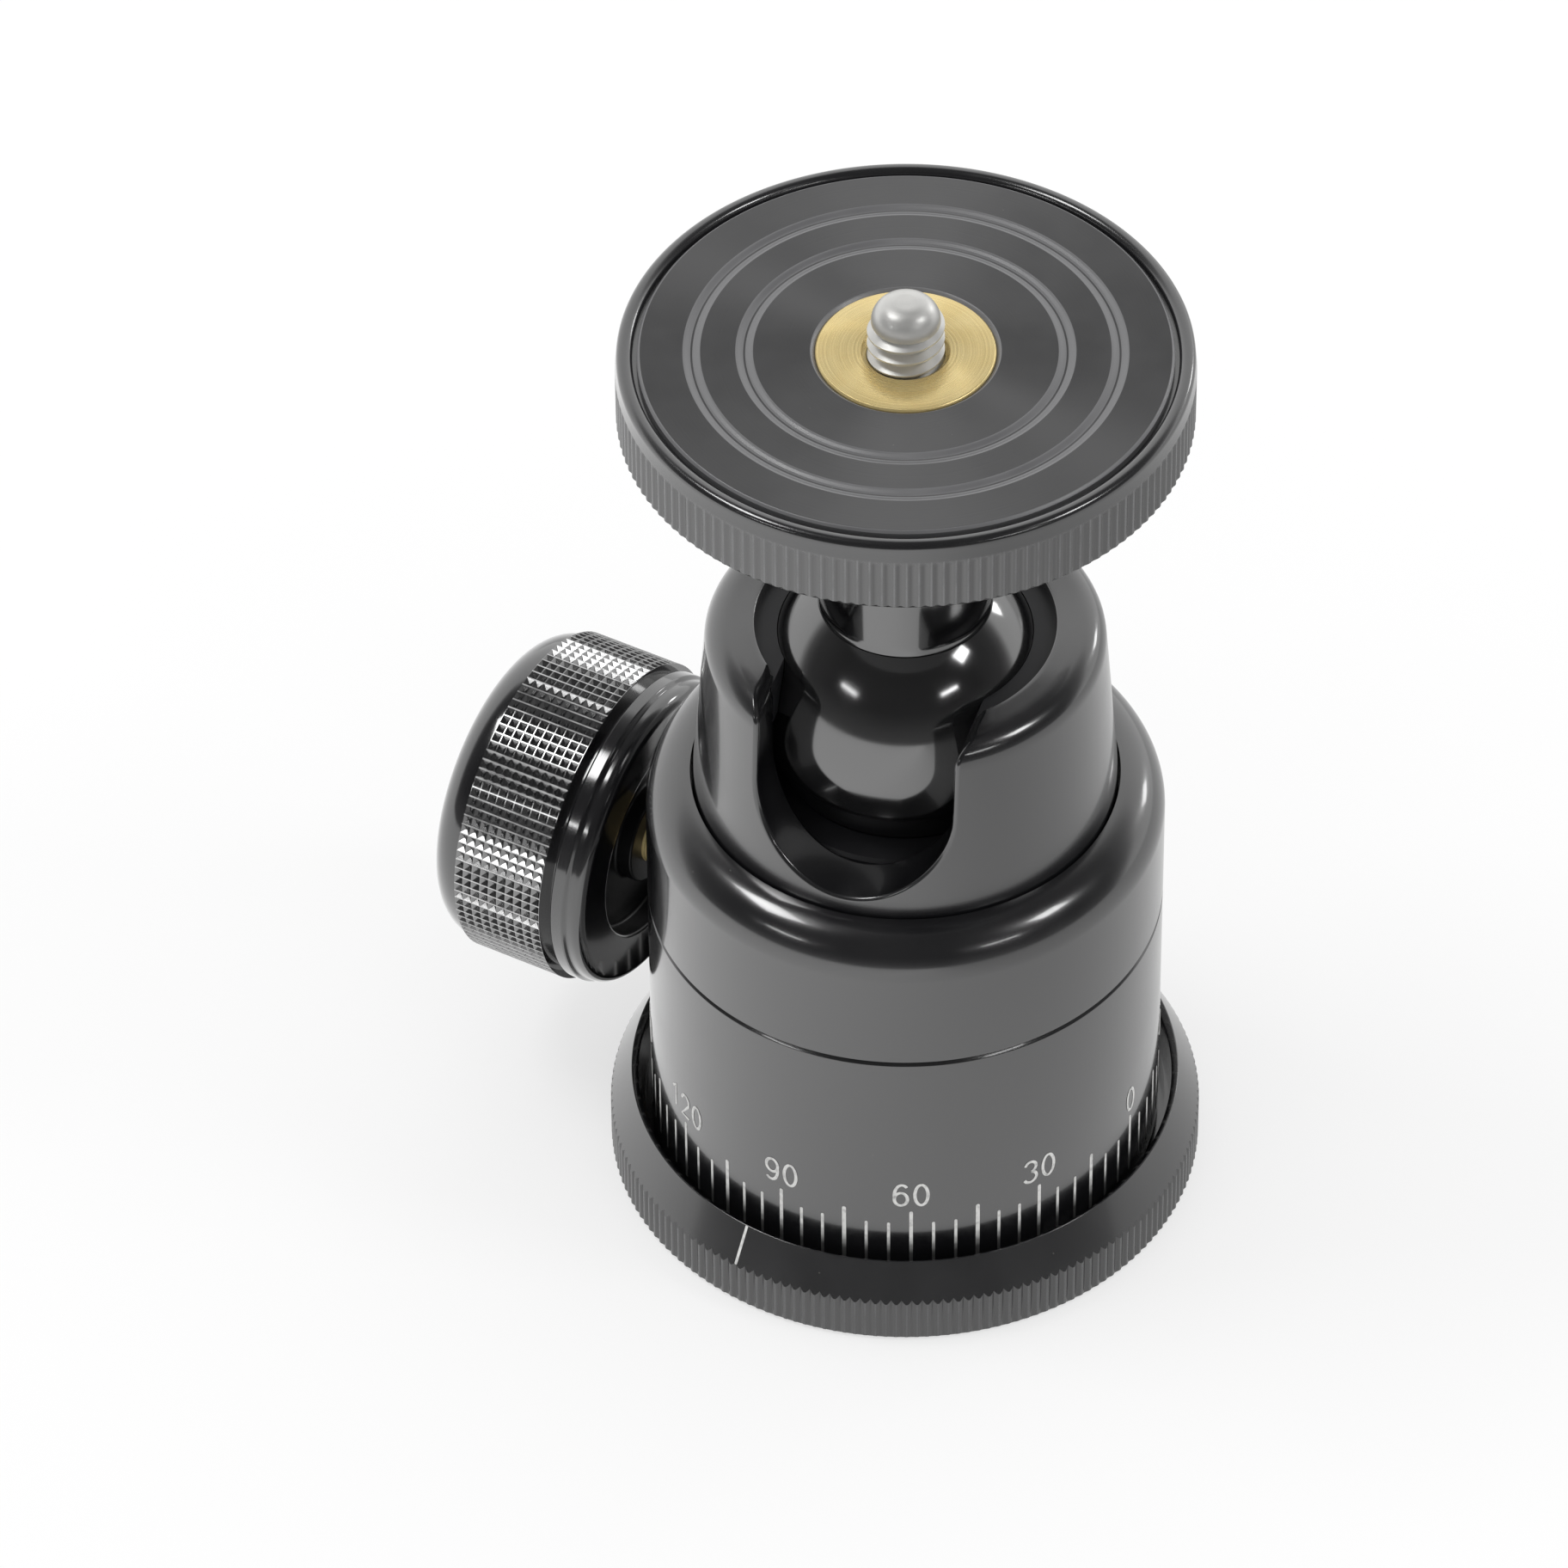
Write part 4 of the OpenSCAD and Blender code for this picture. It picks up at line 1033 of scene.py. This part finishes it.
# the sweep rises behind the object and the rest of the room is dim; only gloss sees the difference
def makeWorld():
    studio = {
        "ambient": 0.9, "sweepAzimuth": 107.5, "rise": 1.25, "lowest": -0.5, "highest": 1.5,
        "levels": ((0.0, 1.0), (0.18, 0.95), (0.23, 0.5), (0.28, 0.22), (0.38, 0.1), (0.7, 0.05), (1.0, 0.04)),
        "horizon": 0.14, "horizonUp": 0.1, "ceiling": 0.05, "ceilingUp": 0.4,
    }
    world = bpy.data.worlds.new("studio")
    tree = emptyTree(world)
    toward = addNode(tree, "TexCoord").outputs["Generated"]
    back = radians(studio["sweepAzimuth"])
    tilt = (-studio["rise"] * cos(back), -studio["rise"] * sin(back), 1.0)
    above = addNode(tree, "VectorMath", {0: toward, 1: tilt}, operation="DOT_PRODUCT")
    spread = addNode(tree, "MapRange", {
        "Value": above.outputs["Value"], "From Min": studio["lowest"], "From Max": studio["highest"]})
    ramp = addNode(tree, "ValToRGB", {0: spread})
    stops = ramp.color_ramp.elements
    while len(stops) < len(studio["levels"]):
        stops.new(0.5)
    for stop, (position, level) in zip(stops, studio["levels"]):
        stop.position = position
        stop.color = (level, level, level, 1)
    upward = addNode(tree, "SeparateXYZ", {0: toward}).outputs["Z"]
    low = addNode(tree, "MapRange", {
        "Value": upward, "From Min": studio["horizonUp"], "From Max": studio["ceilingUp"],
        "To Min": studio["horizon"], "To Max": studio["ceiling"]})
    level = addNode(tree, "Math", {0: ramp, 1: low}, operation="MAXIMUM")
    ray = addNode(tree, "LightPath").outputs
    plain = addNode(tree, "Background", {"Color": (1, 1, 1, 1), "Strength": studio["ambient"]})
    room = addNode(tree, "Background", {"Color": level})
    white = addNode(tree, "Background", {"Color": (1, 1, 1, 1)})
    gloss = addNode(tree, "MixShader", {0: ray["Is Glossy Ray"], 1: plain, 2: room})
    seen = addNode(tree, "MixShader", {0: ray["Is Camera Ray"], 1: gloss, 2: white})
    addNode(tree, "OutputWorld", {"Surface": seen})
    bpy.context.scene.world = world


# each softbox faces the middle of the object: azimuth, elevation, size in metres and power in watts
softboxes = {
    "left": (-170, 62, (0.4, 0.26), 2.6),
    "right": (2, 48, (0.24, 0.2), 1.4),
    "front left tubes": (-125, 30, (0.3, 0.05), 0.35),
    "front right tubes": (-32, 34, (0.3, 0.05), 0.35),
    "low right back": (58, 18, (0.16, 0.16), 0.5),
}


def hangSoftboxes(distance=1.2, middle=0.045):
    for name, (azimuth, elevation, size, power) in softboxes.items():
        lamp = bpy.data.lights.new(name, "AREA")
        lamp.shape = "RECTANGLE"
        lamp.size, lamp.size_y = size
        lamp.energy = power
        box = addObject(name, lamp)
        across, up = radians(azimuth), radians(elevation)
        toward = Vector((cos(across) * cos(up), sin(across) * cos(up), sin(up)))
        box.location = toward * distance + Vector((0, 0, middle))
        box.rotation_euler = toward.to_track_quat("Z", "Y").to_euler()


# place in metres, angles in degrees, lens in millimetres
def placeCamera():
    view = {
        "place": (0.1789, -0.6015, 0.64746), "azimuth": 17.5, "tilt": 46, "roll": -0.57, "sensor": 36, "lens": 236.8,
        "nearest": 0.01,
    }
    lens = bpy.data.cameras.new("camera")
    lens.sensor_width, lens.lens, lens.clip_start = view["sensor"], view["lens"], view["nearest"]
    camera = addObject("camera", lens)
    camera.matrix_world = (Matrix.Translation(view["place"]) @ turn(view["azimuth"], "Z") @ turn(view["tilt"], "X")
                           @ turn(view["roll"], "Z"))
    bpy.context.scene.camera = camera
    bpy.context.scene.view_settings.view_transform = "Standard"


makeFloor()
makeWorld()
hangSoftboxes()
placeCamera()
print("studio set")
